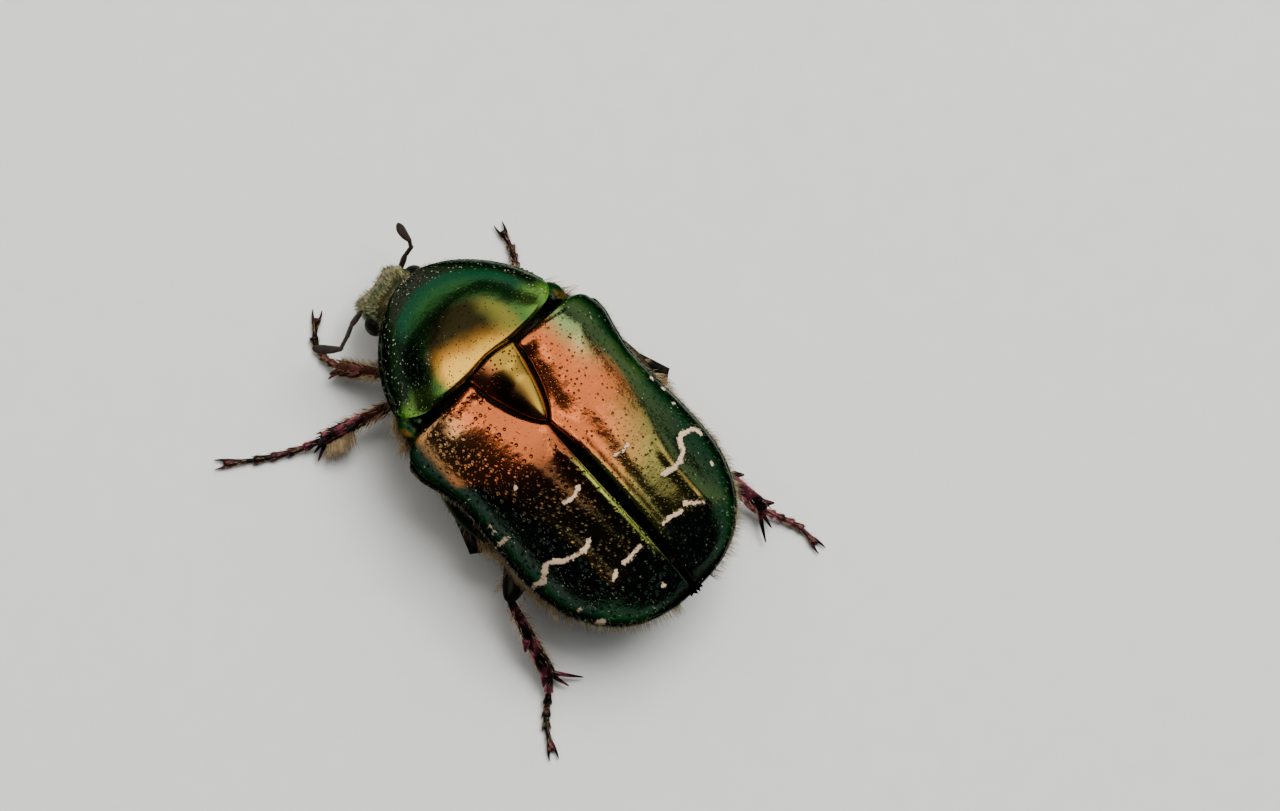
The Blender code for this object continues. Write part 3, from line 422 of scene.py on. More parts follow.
def new_piece(name, mesh, finish, slot, *nodes):
    """A finished piece: in place, with its material, riding on the body in place of its CAD nodes."""
    mesh.name = name
    mesh.transform(Matrix.Translation(BODY_ORIGIN) @ Matrix.Scale(0.001, 4))
    mesh.materials.append(finish)
    mesh.shade_smooth()
    piece = linked(name, mesh)
    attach(piece, "root")
    if nodes:
        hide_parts(*nodes)
    return piece


def face_up(bm):
    """Turns an open sheet's faces upwards."""
    bmesh.ops.recalc_face_normals(bm, faces=bm.faces)
    bm.normal_update()
    if sum(face.normal.z for face in bm.faces) < 0:
        bmesh.ops.reverse_faces(bm, faces=bm.faces)
        bm.normal_update()


def add_wall(piece):
    """Gives a sheet its thickness, on its lower side."""
    wall = piece.modifiers.new("shell", "SOLIDIFY")
    wall.thickness = SHELL_THICKNESS / 1000
    wall.offset = -1


def arithmetic(operation, swapped=False):
    """A method of Value that adds a Math node, with its inputs swapped for the reflected form."""

    def add_node(self, other=0.0):
        values = (other, self) if swapped else (self, other)
        return self.finish.math(operation, *values)

    return add_node


class Value:
    """A socket of a finish. Arithmetic on it adds Math nodes."""

    __add__, __radd__ = arithmetic("ADD"), arithmetic("ADD", True)
    __sub__, __rsub__ = arithmetic("SUBTRACT"), arithmetic("SUBTRACT", True)
    __mul__, __rmul__ = arithmetic("MULTIPLY"), arithmetic("MULTIPLY", True)
    __truediv__, __pow__ = arithmetic("DIVIDE"), arithmetic("POWER")
    __abs__ = arithmetic("ABSOLUTE")

    def __init__(self, finish, socket):
        self.finish = finish
        self.socket = socket


class Finish:
    """A material whose nodes are added one by one. Its x, y and z are places on the beetle in millimetres."""

    def __init__(self, name):
        self.material = bpy.data.materials.new(name)
        self.material.use_nodes = True
        self.tree = self.material.node_tree
        self.shader = self.tree.nodes["Principled BSDF"]
        self.shader.inputs["Specular Tint"].default_value = EDGE_TINT
        place = self.node("ShaderNodeTexCoord", {}, {}, "Object")
        centre = (-1000 * BODY_ORIGIN.x, -1000 * BODY_ORIGIN.y, 0)
        self.body = self.vector("MULTIPLY_ADD", place, (1000, 1000, 1000), centre)
        self.shifted = self.vector("ADD", self.body, PATTERN_SHIFT)
        split = self.raw("ShaderNodeSeparateXYZ", {}, {"Vector": self.body})
        self.x, self.y, self.z = (Value(self, split.outputs[axis]) for axis in "XYZ")

    def raw(self, kind, settings, values):
        """A node of a type, with its settings set first and then the values or links of its sockets."""
        node = self.tree.nodes.new(kind)
        for key, setting in settings.items():
            setattr(node, key, setting)
        for key, value in values.items():
            self.feed(node.inputs[key], value)
        return node

    def node(self, kind, settings, values, output=0):
        return Value(self, self.raw(kind, settings, values).outputs[output])

    def feed(self, socket, value):
        if isinstance(value, Value):
            self.tree.links.new(value.socket, socket)
        else:
            socket.default_value = value

    def math(self, operation, *values):
        return self.node("ShaderNodeMath", {"operation": operation}, dict(enumerate(values)))

    def vector(self, operation, *values):
        return self.node("ShaderNodeVectorMath", {"operation": operation}, dict(enumerate(values)))

    def step(self, value, low, high):
        """0 below low and 1 above high, or the other way round where high is lower, smoothly."""
        values = {"Value": value, "From Min": low, "From Max": high}
        return self.node("ShaderNodeMapRange", {"interpolation_type": "SMOOTHSTEP"}, values)

    def noise(self, scale, detail=3.0, roughness=0.55):
        values = {"Vector": self.body, "Scale": scale, "Detail": detail, "Roughness": roughness}
        return self.node("ShaderNodeTexNoise", {}, values, "Fac")

    def cells(self, scale, randomness=0.85, vector=None):
        """How far it is to the middle of the nearest of many cells."""
        values = {"Vector": vector or self.body, "Scale": scale, "Randomness": randomness}
        return self.node("ShaderNodeTexVoronoi", {}, values, "Distance")

    def colour(self, value):
        return value if isinstance(value, Value) else (*value, 1)

    def mix(self, share, first, second):
        values = {"Factor": share, 6: self.colour(first), 7: self.colour(second)}
        return self.node("ShaderNodeMix", {"data_type": "RGBA"}, values, 2)

    def layers(self, colour, *coats):
        """A first colour with coats over it, each where its mask is 1."""
        for mask, coat in coats:
            colour = self.mix(mask, colour, coat)
        return colour

    def attribute(self, name):
        return self.node("ShaderNodeAttribute", {"attribute_name": name}, {}, "Fac")

    def relief(self, height, depth, normal=None):
        """A Bump node: height 0 to 1 over a depth in millimetres."""
        values = {"Height": height, "Distance": depth / 1000, "Strength": 1.0}
        if normal is not None:
            values["Normal"] = normal
        return self.node("ShaderNodeBump", {}, values, "Normal")

    def set(self, colour, rough, normal=None, metal=0.0):
        values = {"Base Color": self.colour(colour), "Roughness": rough, "Metallic": metal}
        if normal is not None:
            values["Normal"] = normal
        for name, value in values.items():
            self.feed(self.shader.inputs[name], value)
        return self.material

    def pitted(self, colour, pit, grain, metal, rough, darkness=0.6, sunk=0.6, depth=0.05):
        """Finishes a metallic shell with sunk pits in a fine grain, the pits darkened towards near-black as
        painted shade.
        """
        normal = self.relief(0.6 - pit * sunk + grain, depth)
        # Painted shade: the pits darken towards near-black.
        return self.set(self.mix(pit * darkness, colour, NEAR_BLACK), rough, normal, metal)


COPPER, RIB_HIGHLIGHT_GOLD = (0.60, 0.15, 0.045), (0.60, 0.34, 0.07)
TAN_GREEN, SEAM_HIGHLIGHT_GREEN, LIT_SIDE_GREEN = (0.20, 0.17, 0.045), (0.34, 0.38, 0.07), (0.065, 0.10, 0.035)
SHADE_BROWN, DARK_TEAL, TEAL = (0.06, 0.038, 0.02), (0.022, 0.036, 0.027), (0.006, 0.020, 0.014)
SHOULDER_GREEN, SHOULDER_HIGHLIGHT_GOLD = (0.24, 0.34, 0.13), (0.46, 0.23, 0.09)
GOLD, AMBER, OLIVE = (0.66, 0.37, 0.05), (0.46, 0.20, 0.03), (0.024, 0.019, 0.007)
LIT_YELLOW_OLIVE, CORNER_GREEN, ARC_GREEN = (0.19, 0.185, 0.035), (0.14, 0.27, 0.05), (0.04, 0.13, 0.035)
EMERALD, DEEP_GREEN, SHADED_SIDE_GREEN = (0.016, 0.070, 0.036), (0.016, 0.040, 0.022), (0.012, 0.02, 0.011)
RIM_GREY, FLANK_GREY, NEAR_BLACK = (0.03, 0.034, 0.025), (0.03, 0.035, 0.02), (0.010, 0.009, 0.007)
CREAM, DULL_CREAM = (0.66, 0.47, 0.32), (0.46, 0.33, 0.22)
GLINT, PALE_GLINT = (0.55, 0.60, 0.42), (0.72, 0.76, 0.62)
CASE_PIT_SHADE, PRONOTUM_PIT_SHADE = (0.03, 0.05, 0.02), (0.02, 0.03, 0.01)
SHIN_BLACK, SHIN_ROSE_HIGHLIGHT, SHIN_RUST, FOOT_BLACK = (
    (0.016, 0.011, 0.010), (0.38, 0.085, 0.13), (0.09, 0.04, 0.02), (0.02, 0.018, 0.015)
)
EDGE_TINT = (0.25, 0.33, 0.28, 1)

# A mask is 1 where a part of the pattern, or of the light and shade painted into it, lies. The two numbers of
# a step are the places on the beetle, in millimetres, or the values of a noise or ring, between which its
# mask fades.


def elytra_finish():
    """Copper on the disc, green down the sides, pitted all over, with the cream marks. Painted light and
    shade: the left case, lower sides, margins, a band beside the seam and the pits darkened, the right side
    lighter green, and highlights on the ribs, the left shoulder and in glints.
    """
    skin = Finish("elytra_shell")
    step, mix = skin.step, skin.mix
    x, y, across = skin.x, skin.y, abs(skin.x)
    drift = (skin.noise(0.8, 4.0) - 0.5) * 0.8
    left = step(x, -0.2, 0.2)
    # On the left case the copper reaches further out over the shoulder, part of a painted highlight there.
    rib = 3.45 - 0.95 * step(y, 4.0, 9.0) + 0.75 * left * step(y + drift, 4.6, 3.0)
    outside = across + drift * 0.5 - rib
    green_side = step(outside, -0.25, 0.2)
    shoulder = step(y + drift, 4.6, 1.8) * step(across + drift, 2.1, 3.3)
    disc = skin.layers(
        COPPER,
        (step(y + across * 0.9 + drift * 2, 6.0, 9.6), TAN_GREEN),
        # Painted shade: brown darkens the disc of the left wing case.
        (left * step(y + drift * 2, 3.7, 5.8) * 0.8, SHADE_BROWN),
        # Painted highlight: gold over the left shoulder; the right shoulder stays green.
        (shoulder, mix(left, SHOULDER_GREEN, SHOULDER_HIGHLIGHT_GOLD)),
    )
    side = skin.layers(
        DEEP_GREEN,
        # Painted shade: the sides darken to teal lower down.
        (step(skin.z, 6.6, 5.6), TEAL),
        # Painted shade: the left wing case's side is darker teal, except at the tail.
        (left * step(y, 11.5, 9.0), DARK_TEAL),
        # Painted light: a lighter moss green on the right wing case's side, next to the copper.
        ((1 - left) * step(outside + drift, 1.1, 0.2) * 0.8, LIT_SIDE_GREEN),
    )
    tail = step(y - 0.35 * across + drift, 9.4, 10.1)
    rib_highlight = step(abs(outside + 0.08), 0.12, 0.02) * step(y, 7.0, 8.6) * step(y, 10.6, 10.0)
    seam_ridge_highlight = step(across, 0.5, 0.36) * step(y + drift, 5.2, 7.0) * step(y, 11.2, 9.6)
    painted_seam_shade = step(x, -0.32, -0.22) * step(x, 0.06, 0.0) * step(y, 4.5, 6.0)

    smooth_strip = step(across, 1.5, 0.9) * step(y, 5.5, 4.0)
    crowd = 0.08 + 0.12 * skin.noise(0.9) - 0.12 * smooth_strip
    right_pits = step(skin.cells(4.5, 0.9) - crowd, 0.12, -0.05) * (1 - left)
    left_pits = left * step(skin.cells(3.7), 0.36, 0.05) * (1 - smooth_strip)
    rugged = step(y - 0.4 * x, 3.4, 1.4) * step(across, 1.4, 2.4)
    small_pits = step(skin.cells(7.3, 1.0), 0.30, 0.12) * (0.15 + 0.7 * rugged)
    pits = skin.math("MAXIMUM", right_pits + left_pits, small_pits)
    marks = skin.attribute("mark_distance") + (skin.noise(4.0, 5.0, 0.75) - 0.52) * 0.5
    cream = step(marks, 0.015, -0.015)
    sparkle = step(skin.cells(4.6, 1.0, skin.shifted), 0.2, 0.1) * step(skin.noise(3.0), 0.5, 0.6)
    sparkle = sparkle * skin.math("MAXIMUM", green_side, step(y, 5.0, 8.0))
    colour = skin.layers(
        disc,
        (green_side, side),
        (tail, mix(step(across, 0.8, 3.0), DARK_TEAL, DEEP_GREEN)),
        # Painted highlight: a gold line along the rib, stronger on the left case.
        (rib_highlight * (0.35 + 0.35 * left), RIB_HIGHLIGHT_GOLD),
        # Painted highlight: yellow-green along the ridge beside the seam.
        (seam_ridge_highlight * 0.9, SEAM_HIGHLIGHT_GREEN),
        # Painted shade: near-black along the outer and hind margins.
        (step(skin.attribute("from_margin"), 0.075, 0.03), NEAR_BLACK),
        # Painted shade: a near-black band on the right wing case along the seam.
        (painted_seam_shade, NEAR_BLACK),
        # Painted shade: the pits darken, much less on the left case.
        (pits * 0.5 * (1 - left * 0.85), CASE_PIT_SHADE),
        (cream, mix(skin.noise(12.0), DULL_CREAM, CREAM)),
        # Painted glints: pale dots on the green sides and the hind part.
        (sparkle * (1 - cream) * 0.8, GLINT),
    )
    height = 0.6 - pits * 0.6 + skin.noise(15.0) * 0.04 + cream * 0.6
    fine = skin.relief(height, 0.075, skin.relief(skin.noise(2.2, 2.0), 0.025))
    rough = 0.19 + pits * 0.12 + cream * 0.45 + sparkle * 0.3
    return skin.set(colour, rough, fine, 1 - cream)


def pronotum_finish():
    """Gold behind, olive in the middle, an emerald band, and a grey pitted rim in front and at the sides.
    Painted light and shade: the left flank and the pits darkened, yellow-olive on the right of the hind half,
    and pale glints.
    """
    skin = Finish("thorax_shell")
    step, mix = skin.step, skin.mix
    x, y, across = skin.x, skin.y, abs(skin.x)
    drift = (skin.noise(0.9, 4.0) - 0.5) * 0.9
    ring = (across / PRONOTUM_WIDTH) ** 1.9 + (abs(y) / -PRONOTUM_FRONT) ** 1.9 + drift * 0.12
    rim = step(ring, 0.62, 0.76)
    low = step(skin.z, 5.0, 4.4)
    # The pronotum's left flank, which the colour below darkens as painted shade and where the pits crowd.
    shaded_left_side = step(x + drift * 0.4, 1.3, 2.2) * step(y, 0.0, -0.9) * step(y - 0.5 * x, -4.6, -3.4)
    rough_part = skin.math("MAXIMUM", rim, shaded_left_side)
    pit = step(skin.cells(6.6, 1.0) - (0.07 + 0.13 * rough_part), 0.14, -0.04)
    sparkle = step(skin.cells(6.0, 1.0, skin.shifted), 0.24, 0.12) * rough_part
    sparkle = sparkle * step(skin.noise(3.0), 0.42, 0.55)
    bright = mix(step(y + drift + 0.2 * x, -0.6, 0.4), AMBER, GOLD)
    colour = skin.layers(
        OLIVE,
        (step(y + drift * 0.8 + 0.35 * x, -0.85, 0.25), bright),
        # Painted light: yellow-olive on the right of the hind half.
        (step(x + drift * 0.6, -0.7, -1.7) * step(y, -2.2, -1.0), LIT_YELLOW_OLIVE),
        (step(ring, 0.20, 0.36), mix(step(ring + drift * 0.1, 0.60, 0.36), EMERALD, ARC_GREEN)),
        (step(y, -0.9, 0.0) * step(across, 1.8, 2.8), CORNER_GREEN),
        (rim * step(y, 0.2, -0.6), RIM_GREY),
        (low, FLANK_GREY),
        # Painted shade: the left flank darkens to a near-black green.
        (shaded_left_side * 0.9, SHADED_SIDE_GREEN),
        # Painted shade: the pits darken.
        (pit * 0.5, PRONOTUM_PIT_SHADE),
        # Painted glints: pale dots on the rim and the left flank.
        (sparkle * 0.9, PALE_GLINT),
    )
    height = 0.6 - pit * 0.6 + skin.noise(16.0, 4.0) * 0.06
    fine = skin.relief(height, 0.045, skin.relief(skin.noise(2.2, 2.0), 0.012))
    return skin.set(colour, 0.22 + pit * 0.15 + 0.1 * low + 0.3 * sparkle, fine, 1.0)


def side_plate_finish():
    """Dark green with copper lights."""
    skin = Finish("side_plate_shell")
    colour = skin.mix(skin.step(skin.noise(1.4), 0.45, 0.65), (0.012, 0.05, 0.022), (0.16, 0.08, 0.03))
    pit = skin.step(skin.cells(5.0), 0.32, 0.1)
    return skin.pitted(colour, pit, skin.noise(14.0, 4.0) * 0.08, 1.0, 0.28 + pit * 0.2)


def shield_finish():
    """Gold on its right and copper on its left, a split of painted light and shade, a near-black patch of
    painted shade left of its middle, and pits on its base and left.
    """
    skin = Finish("scutellum_shell")
    x, y = skin.x, skin.y
    drift = (skin.noise(0.9) - 0.5) * 0.5
    shade_patch = ((x - 0.3) / 0.5) ** 2 + ((y - 2.4) / 0.9) ** 2 + drift
    colour = skin.layers(
        (0.42, 0.25, 0.04),
        # Painted light and shade: gold on the right half, darker copper on the left.
        (skin.step(x + drift, -0.25, 0.45), (0.36, 0.11, 0.04)),
        # Painted shade: a near-black patch left of the middle.
        (skin.step(shade_patch, 1.9, 0.1) * 0.85, NEAR_BLACK),
    )
    crowd = 0.06 + 0.10 * skin.step(y - 0.6 * abs(x), 2.0, 1.0)
    pit = skin.step(skin.cells(5.4, 0.95) - crowd, 0.12, -0.05) * skin.step(y - 0.7 * x, 2.6, 1.6)
    return skin.pitted(colour, pit, skin.noise(14.0, 4.0) * 0.05, 1.0, 0.2 + pit * 0.2, 0.7)


def underside_finish(name, green, bronze):
    """Dark bronze-green plates with coarse long pits and a rough grain."""
    skin = Finish(name)
    tone = skin.noise(1.1)
    colour = skin.mix(skin.step(tone, 0.35, 0.65), green, bronze)
    long_cells = skin.cells(4.4, vector=skin.vector("MULTIPLY", skin.body, (1.0, 0.7, 1.0)))
    pit = skin.step(long_cells, 0.32, 0.1)
    return skin.pitted(colour, pit, skin.noise(10.0, 5.0) * 0.15, 0.85, 0.24 + 0.2 * tone, sunk=0.5)


def shin_finish():
    """Dark with violet-rose painted highlights, rusty on the front legs and blackish on the feet."""
    skin = Finish("leg_shell")
    tone = skin.noise(1.6)
    rusty = skin.step(skin.y, 1.0, -0.2) * skin.step(abs(skin.x), 5.0, 4.2)
    colour = skin.layers(
        SHIN_BLACK,
        # Painted highlights: violet-rose patches, placed by noise.
        (skin.step(tone, 0.42, 0.66), SHIN_ROSE_HIGHLIGHT),
        (rusty * 0.7, SHIN_RUST),
        (skin.step(skin.z, 0.7, 0.3) * 0.8, FOOT_BLACK),
    )
    pit = skin.step(skin.cells(5.5), 0.3, 0.1)
    grain = skin.noise(12.0, 4.0) * 0.12
    return skin.pitted(colour, pit, grain, 0.9, 0.16 + 0.12 * tone, sunk=0.5, depth=0.035)


def head_finish():
    skin = Finish("head_shell")
    colour = skin.mix(skin.step(skin.noise(1.2), 0.4, 0.6), (0.04, 0.06, 0.03), (0.10, 0.08, 0.03))
    pit = skin.step(skin.cells(6.5), 0.34, 0.12)
    return skin.pitted(colour, pit, skin.noise(14.0, 4.0) * 0.1, 0.85, 0.3 + pit * 0.2)


def eye_finish():
    """Black, glossy, with fine facets."""
    skin = Finish("eye_facets")
    facets = skin.step(skin.cells(26.0, 0.15), 0.6, 0.0)
    colour = skin.mix(skin.noise(3.0), (0.002, 0.0015, 0.001), (0.007, 0.005, 0.003))
    return skin.set(colour, 0.14, skin.relief(facets, 0.008), 0.6)


def antenna_finish():
    skin = Finish("antenna_shell")
    tone = skin.noise(3.0)
    colour = skin.mix(tone, (0.006, 0.005, 0.004), (0.034, 0.022, 0.016))
    return skin.set(colour, 0.38 + 0.15 * tone, skin.relief(skin.noise(18.0, 4.0), 0.02), 0.25)


def fur_finish(name, pale, dark):
    """Hair whose tone drifts over the coat, with fine streaks."""
    skin = Finish(name)
    streaks = skin.noise(9.0, 2.0)
    colour = skin.mix(skin.step(skin.noise(2.2) * 0.6 + streaks * 0.4, 0.38, 0.62), dark, pale)
    return skin.set(colour, 0.45 + 0.15 * streaks)


def distance_to_line(x, y, points):
    best = 1e9
    for (ax, ay), (bx, by) in zip(points, points[1:]):
        length = (bx - ax) ** 2 + (by - ay) ** 2
        t = clamp(((x - ax) * (bx - ax) + (y - ay) * (by - ay)) / length)
        best = min(best, hypot(x - ax - t * (bx - ax), y - ay - t * (by - ay)))
    return best


def mark_distance(word, x, y):
    """How far a point is outside the nearest cream mark: below 0 inside it."""
    far = 1.0
    for half_width, points in CREAM_MARKS[word]:
        if abs(y - points[0][1]) < 2.0:
            far = min(far, distance_to_line(x, y, points) - half_width)
    return far


def make_wing_case(word, side, finish):
    bm = bmesh.new()
    margin = bm.verts.layers.float.new("from_margin")
    bmesh.ops.create_grid(bm, x_segments=110, y_segments=170, size=1)
    end = ELYTRA_END - 0.02
    places = {}
    for vert in bm.verts:
        share = (vert.co.x + 1) / 2
        t = sin((vert.co.y + 1) / 4 * pi)
        front = ELYTRA_FRONT + SHOULDER_DROP * max(0.0, (share - 0.75) / 0.25) ** 2
        y = front + (end - front) * t
        inner = max(SEAM, shield_width(y - 0.06) + 0.07)
        if t > 0.9999:
            inner, share = SEAM, 0
        vert.co = dome_point(side, share, y, inner)
        places[vert] = (share, t, inner)
    face_up(bm)
    shifts = []
    for vert in bm.verts:
        share, t, inner = places[vert]
        vert[margin] = min(1 - share, 1.5 * (1 - t) + 0.001)
        x, y = vert.co.x, vert.co.y
        rim = 0.10 * bump(1 - share, 0.018) - 0.05 * bump(share - 0.94, 0.03)
        rim -= 0.09 * bump(abs(x) - inner, 0.07) + 0.10 * bump(t, 0.012) - 0.03 * bump(t - 0.03, 0.012)
        cream = 0.02 * ramp(-mark_distance(word, x, y), -0.02, 0.03)
        wave = 0.012 * sin(2.3 * x + 0.7 * y) * sin(1.9 * y - 0.5 * x)
        shifts.append(vert.normal * (rim * min(1.0, (1 - t) * 20 + 0.1) + cream + wave))
    for vert, away in zip(bm.verts, shifts):
        vert.co += away
    bmesh.ops.remove_doubles(bm, verts=bm.verts, dist=0.002)
    mesh = mesh_of(bm)
    layer = mesh.attributes.new("mark_distance", "FLOAT", "POINT")
    layer.data.foreach_set("value", [mark_distance(word, v.co.x, v.co.y) for v in mesh.vertices])
    add_wall(new_piece(f"{word}_wing_case", mesh, finish, "elytra_shell", f"{word}_elytron"))


def pronotum_point(t, angle):
    """t runs from the front edge to the hind one, and past PRONOTUM_BACK over the hind face."""
    share = min(1.0, t / PRONOTUM_BACK)
    y = PRONOTUM_FRONT * cos(share * pi / 2) ** 1.15
    cap = 1 - max(0.0, t - PRONOTUM_BACK) / (1 - PRONOTUM_BACK)
    outline = rounded_end(-y, 0.0, -PRONOTUM_FRONT, 1.68)
    edge = eased(PRONOTUM_EDGE, y)
    squareness = 0.82 - 0.2 * ramp(y, -1.1, 0.0)
    x = PRONOTUM_WIDTH * outline * signed_power(cos(angle), squareness) * cap
    if sin(angle) > 0:
        height = (eased(PRONOTUM_CROWN, y) - edge) * rounded_end(-y, 0.0, -PRONOTUM_FRONT, 5.0)
        z = edge + height * sin(angle) ** squareness * cap
    else:
        z = edge - eased(PROTHORAX_DEPTH, y) * outline * abs(sin(angle)) ** 0.8 * cap
    return Vector((x, y + (hind_edge(x) - joint_lean(z)) * share**6, z))


def make_pronotum(finish):
    """The pronotum and prothorax, with a bead and a gutter along the sides and a rolled hind edge."""

    def surface(t, angle):
        point = pronotum_point(t, angle)
        if t > PRONOTUM_BACK:
            return point
        upper = sin(angle)
        bead = 0.07 * bump(upper - 0.02, 0.06) * ramp(t, 0.02, 0.15)
        gutter = 0.048 * bump(upper - 0.15, 0.07) * ramp(t, 0.05, 0.2)
        back = ramp(t, 0.845, PRONOTUM_BACK) if upper > 0 else 0.0
        point += unit(cos(angle), 0, 0.4 * upper) * (bead - gutter)
        point.z += 0.10 * bump(t - 0.845, 0.05) * max(0.0, upper) - 0.12 * back
        return point

    new_piece("pronotum", one_mesh(closed_form(150, 160, surface)), finish, "thorax_shell", "prothorax")


def make_shield(finish):
    bm = bmesh.new()
    bmesh.ops.create_grid(bm, x_segments=48, y_segments=60, size=1)
    for vert in bm.verts:
        t = sin((vert.co.y + 1) / 4 * pi)
        share = vert.co.x
        start = hind_edge(share * SCUTELLUM_WIDTH) + GAP * 0.45
        y = start + (SCUTELLUM_TIP - start) * t
        width = shield_width(y)
        crown = 0.3 * (1 - share**2) * (width / SCUTELLUM_WIDTH) ** 0.5
        lip = 0.14 * abs(share) ** 14 + 0.14 * t**20
        sunk = 0.1 + 0.2 * ramp(y, 1.2, 2.2)
        vert.co = Vector((share * width, y, sum(elytra_levels(y)) + crown - lip - sunk))
    bmesh.ops.remove_doubles(bm, verts=bm.verts, dist=0.004)
    face_up(bm)
    add_wall(new_piece("scutellum_plate", mesh_of(bm), finish, "scutellum_shell", "scutellum"))


def behind_pronotum(x, y, z):
    """Moves a place back so that the front of a form follows the pronotum's hind face."""
    return y + (hind_edge(x) - joint_lean(z) + GAP * 0.6) * (1 - min(1.0, y / JOINT_REACH))


def trunk_surface(y, angle, front=False):
    """The hind thorax and abdomen, with the grooves between their plates; a point in front closes it."""
    width, level, belly = smooth_table(TRUNK_LEVELS, y)
    cap = 0.0 if front else rounded_end(y, ROUNDING_START, TRUNK_END, 2.6)
    depth = 0.0 if front else rounded_end(y, TAIL_ROUNDING, TRUNK_END, 2.2)
    groove = 0.06 * bump(y - TAIL_PLATE, 0.05)
    for place in VENTRITE_GROOVES:
        groove += 0.07 * bump(y - place, 0.06) + 0.05 * bump(y - place - 0.12, 0.12)
    side_seam = 0.05 * bump(sin(angle) + 0.35, 0.05) * stretch(y, 0.5, 1.0, 4.8, 5.2)
    x = (width - groove - side_seam) * cap * signed_power(cos(angle), 0.85)
    if sin(angle) > 0:
        z = level + 0.62 * depth * sin(angle) ** 0.7
    else:
        z = level - (level - belly - groove) * depth * abs(sin(angle)) ** 0.9
    return Vector((x, behind_pronotum(x, y, z), z))


def lower_trunk_point(t, angle):
    """The trunk from pole to pole, with its rings closer together at the tail."""
    y = TRUNK_END * clamp((t - 0.03) / 0.97)
    if t > 0.9:
        y = TRUNK_END * (1 - (1 - t) ** 2 * 9.2)
    return trunk_surface(max(0.0, y), angle, t < 0.001)


def upper_trunk_point(t, angle):
    """The back of the trunk, under the wing cases."""
    inset, end = 1.1, ELYTRA_END - 1.4
    y = end * sin(clamp((t - 0.1) / 0.9) * pi / 2)
    cap = min(1.0, t / 0.1)
    closing = rounded_end(y, 7.5, end, 2.4)
    edge, height = elytra_levels(y)
    width = max(0.0, elytra_width(y) - inset - 0.15) * closing * cap
    height = max(0.0, height - inset - 0.1) * closing * cap
    squareness = 2 / DOME_SQUARENESS
    x = width * signed_power(cos(angle), squareness)
    if sin(angle) > 0:
        z = edge + height * sin(angle) ** squareness
    else:
        z = edge - 1.2 * cap * abs(sin(angle)) * closing
    return Vector((x, behind_pronotum(x, y, z), z))


def make_trunk(finish):
    """Hind thorax, abdomen and tail plate in one, with the knob between the legs and the neck."""
    knob = limb(1.7, [(0, 0.4, 0.35), (0.4, 0.55, 0.5), (1.0, 0.4, 0.4)], 28, 24)
    moved(knob, frame_along(Vector((0, 1.35, 2.15)), Vector((0, 2.35, 2.35))))
    neck = limb(2.3, [(0, 2.5, 1.2), (1.0, 2.5, 1.4)], 32, 20, 4.0)
    moved(neck, frame_along(Vector((0, -1.1, 4.9)), Vector((0, -0.1, 4.9))))
    forms = [closed_form(230, 96, lower_trunk_point), closed_form(60, 64, upper_trunk_point), knob, neck]
    new_piece("trunk", one_mesh(*forms), finish, "underside", "hind_thorax", "abdomen", "pygidium")


def make_side_plates(finish):
    for word, side in SIDES.items():
        start, end = Vector((side * 3.95, 0.45, 4.0)), Vector((side * 3.5, 0.5, 6.0))
        rows = [(0, 0.5, 0.3), (0.5, 0.62, 0.52), (1.0, 0.5, 0.35)]
        plate = moved(limb((end - start).length, rows, 40, 40, 3.0), frame_along(start, end, (side, 0, 0)))
        new_piece(f"{word}_side_plate", one_mesh(plate), finish, "thorax_shell", f"{word}_mesepimeron")


def head_matrix():
    return Matrix.Translation(HEAD_PLACE) @ turn(HEAD_YAW, "Z") @ turn(HEAD_PITCH, "X")


def eye_centre(side):
    return Vector((side * EYE_PLACE.x, EYE_PLACE.y, EYE_PLACE.z))


def head_point(t, angle):
    """The head from its neck to the notched front of the clypeus, with a raised rim."""
    share = from_pole(t)
    width, thick = smooth_table(HEAD_ROWS, share)
    cap = both_ends(share, 5)
    squareness = 0.9 - 0.45 * share
    x = width * cap * signed_power(cos(angle), squareness)
    z = thick * cap * signed_power(sin(angle), squareness)
    notch = 0.16 * bump(x, 0.45) * share**6
    z += max(0.0, share - 0.86) * cap
    z += 0.06 * bump(abs(x) - 0.95 * width * cap, 0.08) * ramp(share, 0.55, 0.7) * (sin(angle) > 0)
    return Vector((x, (HEAD_ORIGIN - share) * HEAD_LENGTH + notch, z))


def make_head(finish, eye_look, feeler_look):
    matrix = head_matrix()
    forms = [moved(closed_form(90, 80, head_point), matrix)]
    for side in (-1, 1):
        start = matrix @ Vector((side * 0.55, -0.9, -0.35))
        end = start + Vector((side * 0.35, -0.35, -0.5))
        palp = limb(0.75, round_rows((0, 0.09), (0.6, 0.11), (1, 0.08)), 14, 14)
        forms.append(moved(palp, frame_along(start, end)))
    new_piece("head_capsule", one_mesh(*forms), finish, "underside", "head")
    for word, side in SIDES.items():
        ball = limb(2 * EYE_RADIUS, round_rows((0, EYE_RADIUS), (1, EYE_RADIUS)), 48, 36, 2.0)
        moved(ball, matrix @ Matrix.Translation(eye_centre(side)) @ shift(-EYE_RADIUS, 0, 0))
        new_piece(f"{word}_eye_ball", one_mesh(ball), eye_look, "eyes", f"{word}_eye")
        make_feeler(word, feeler_look)


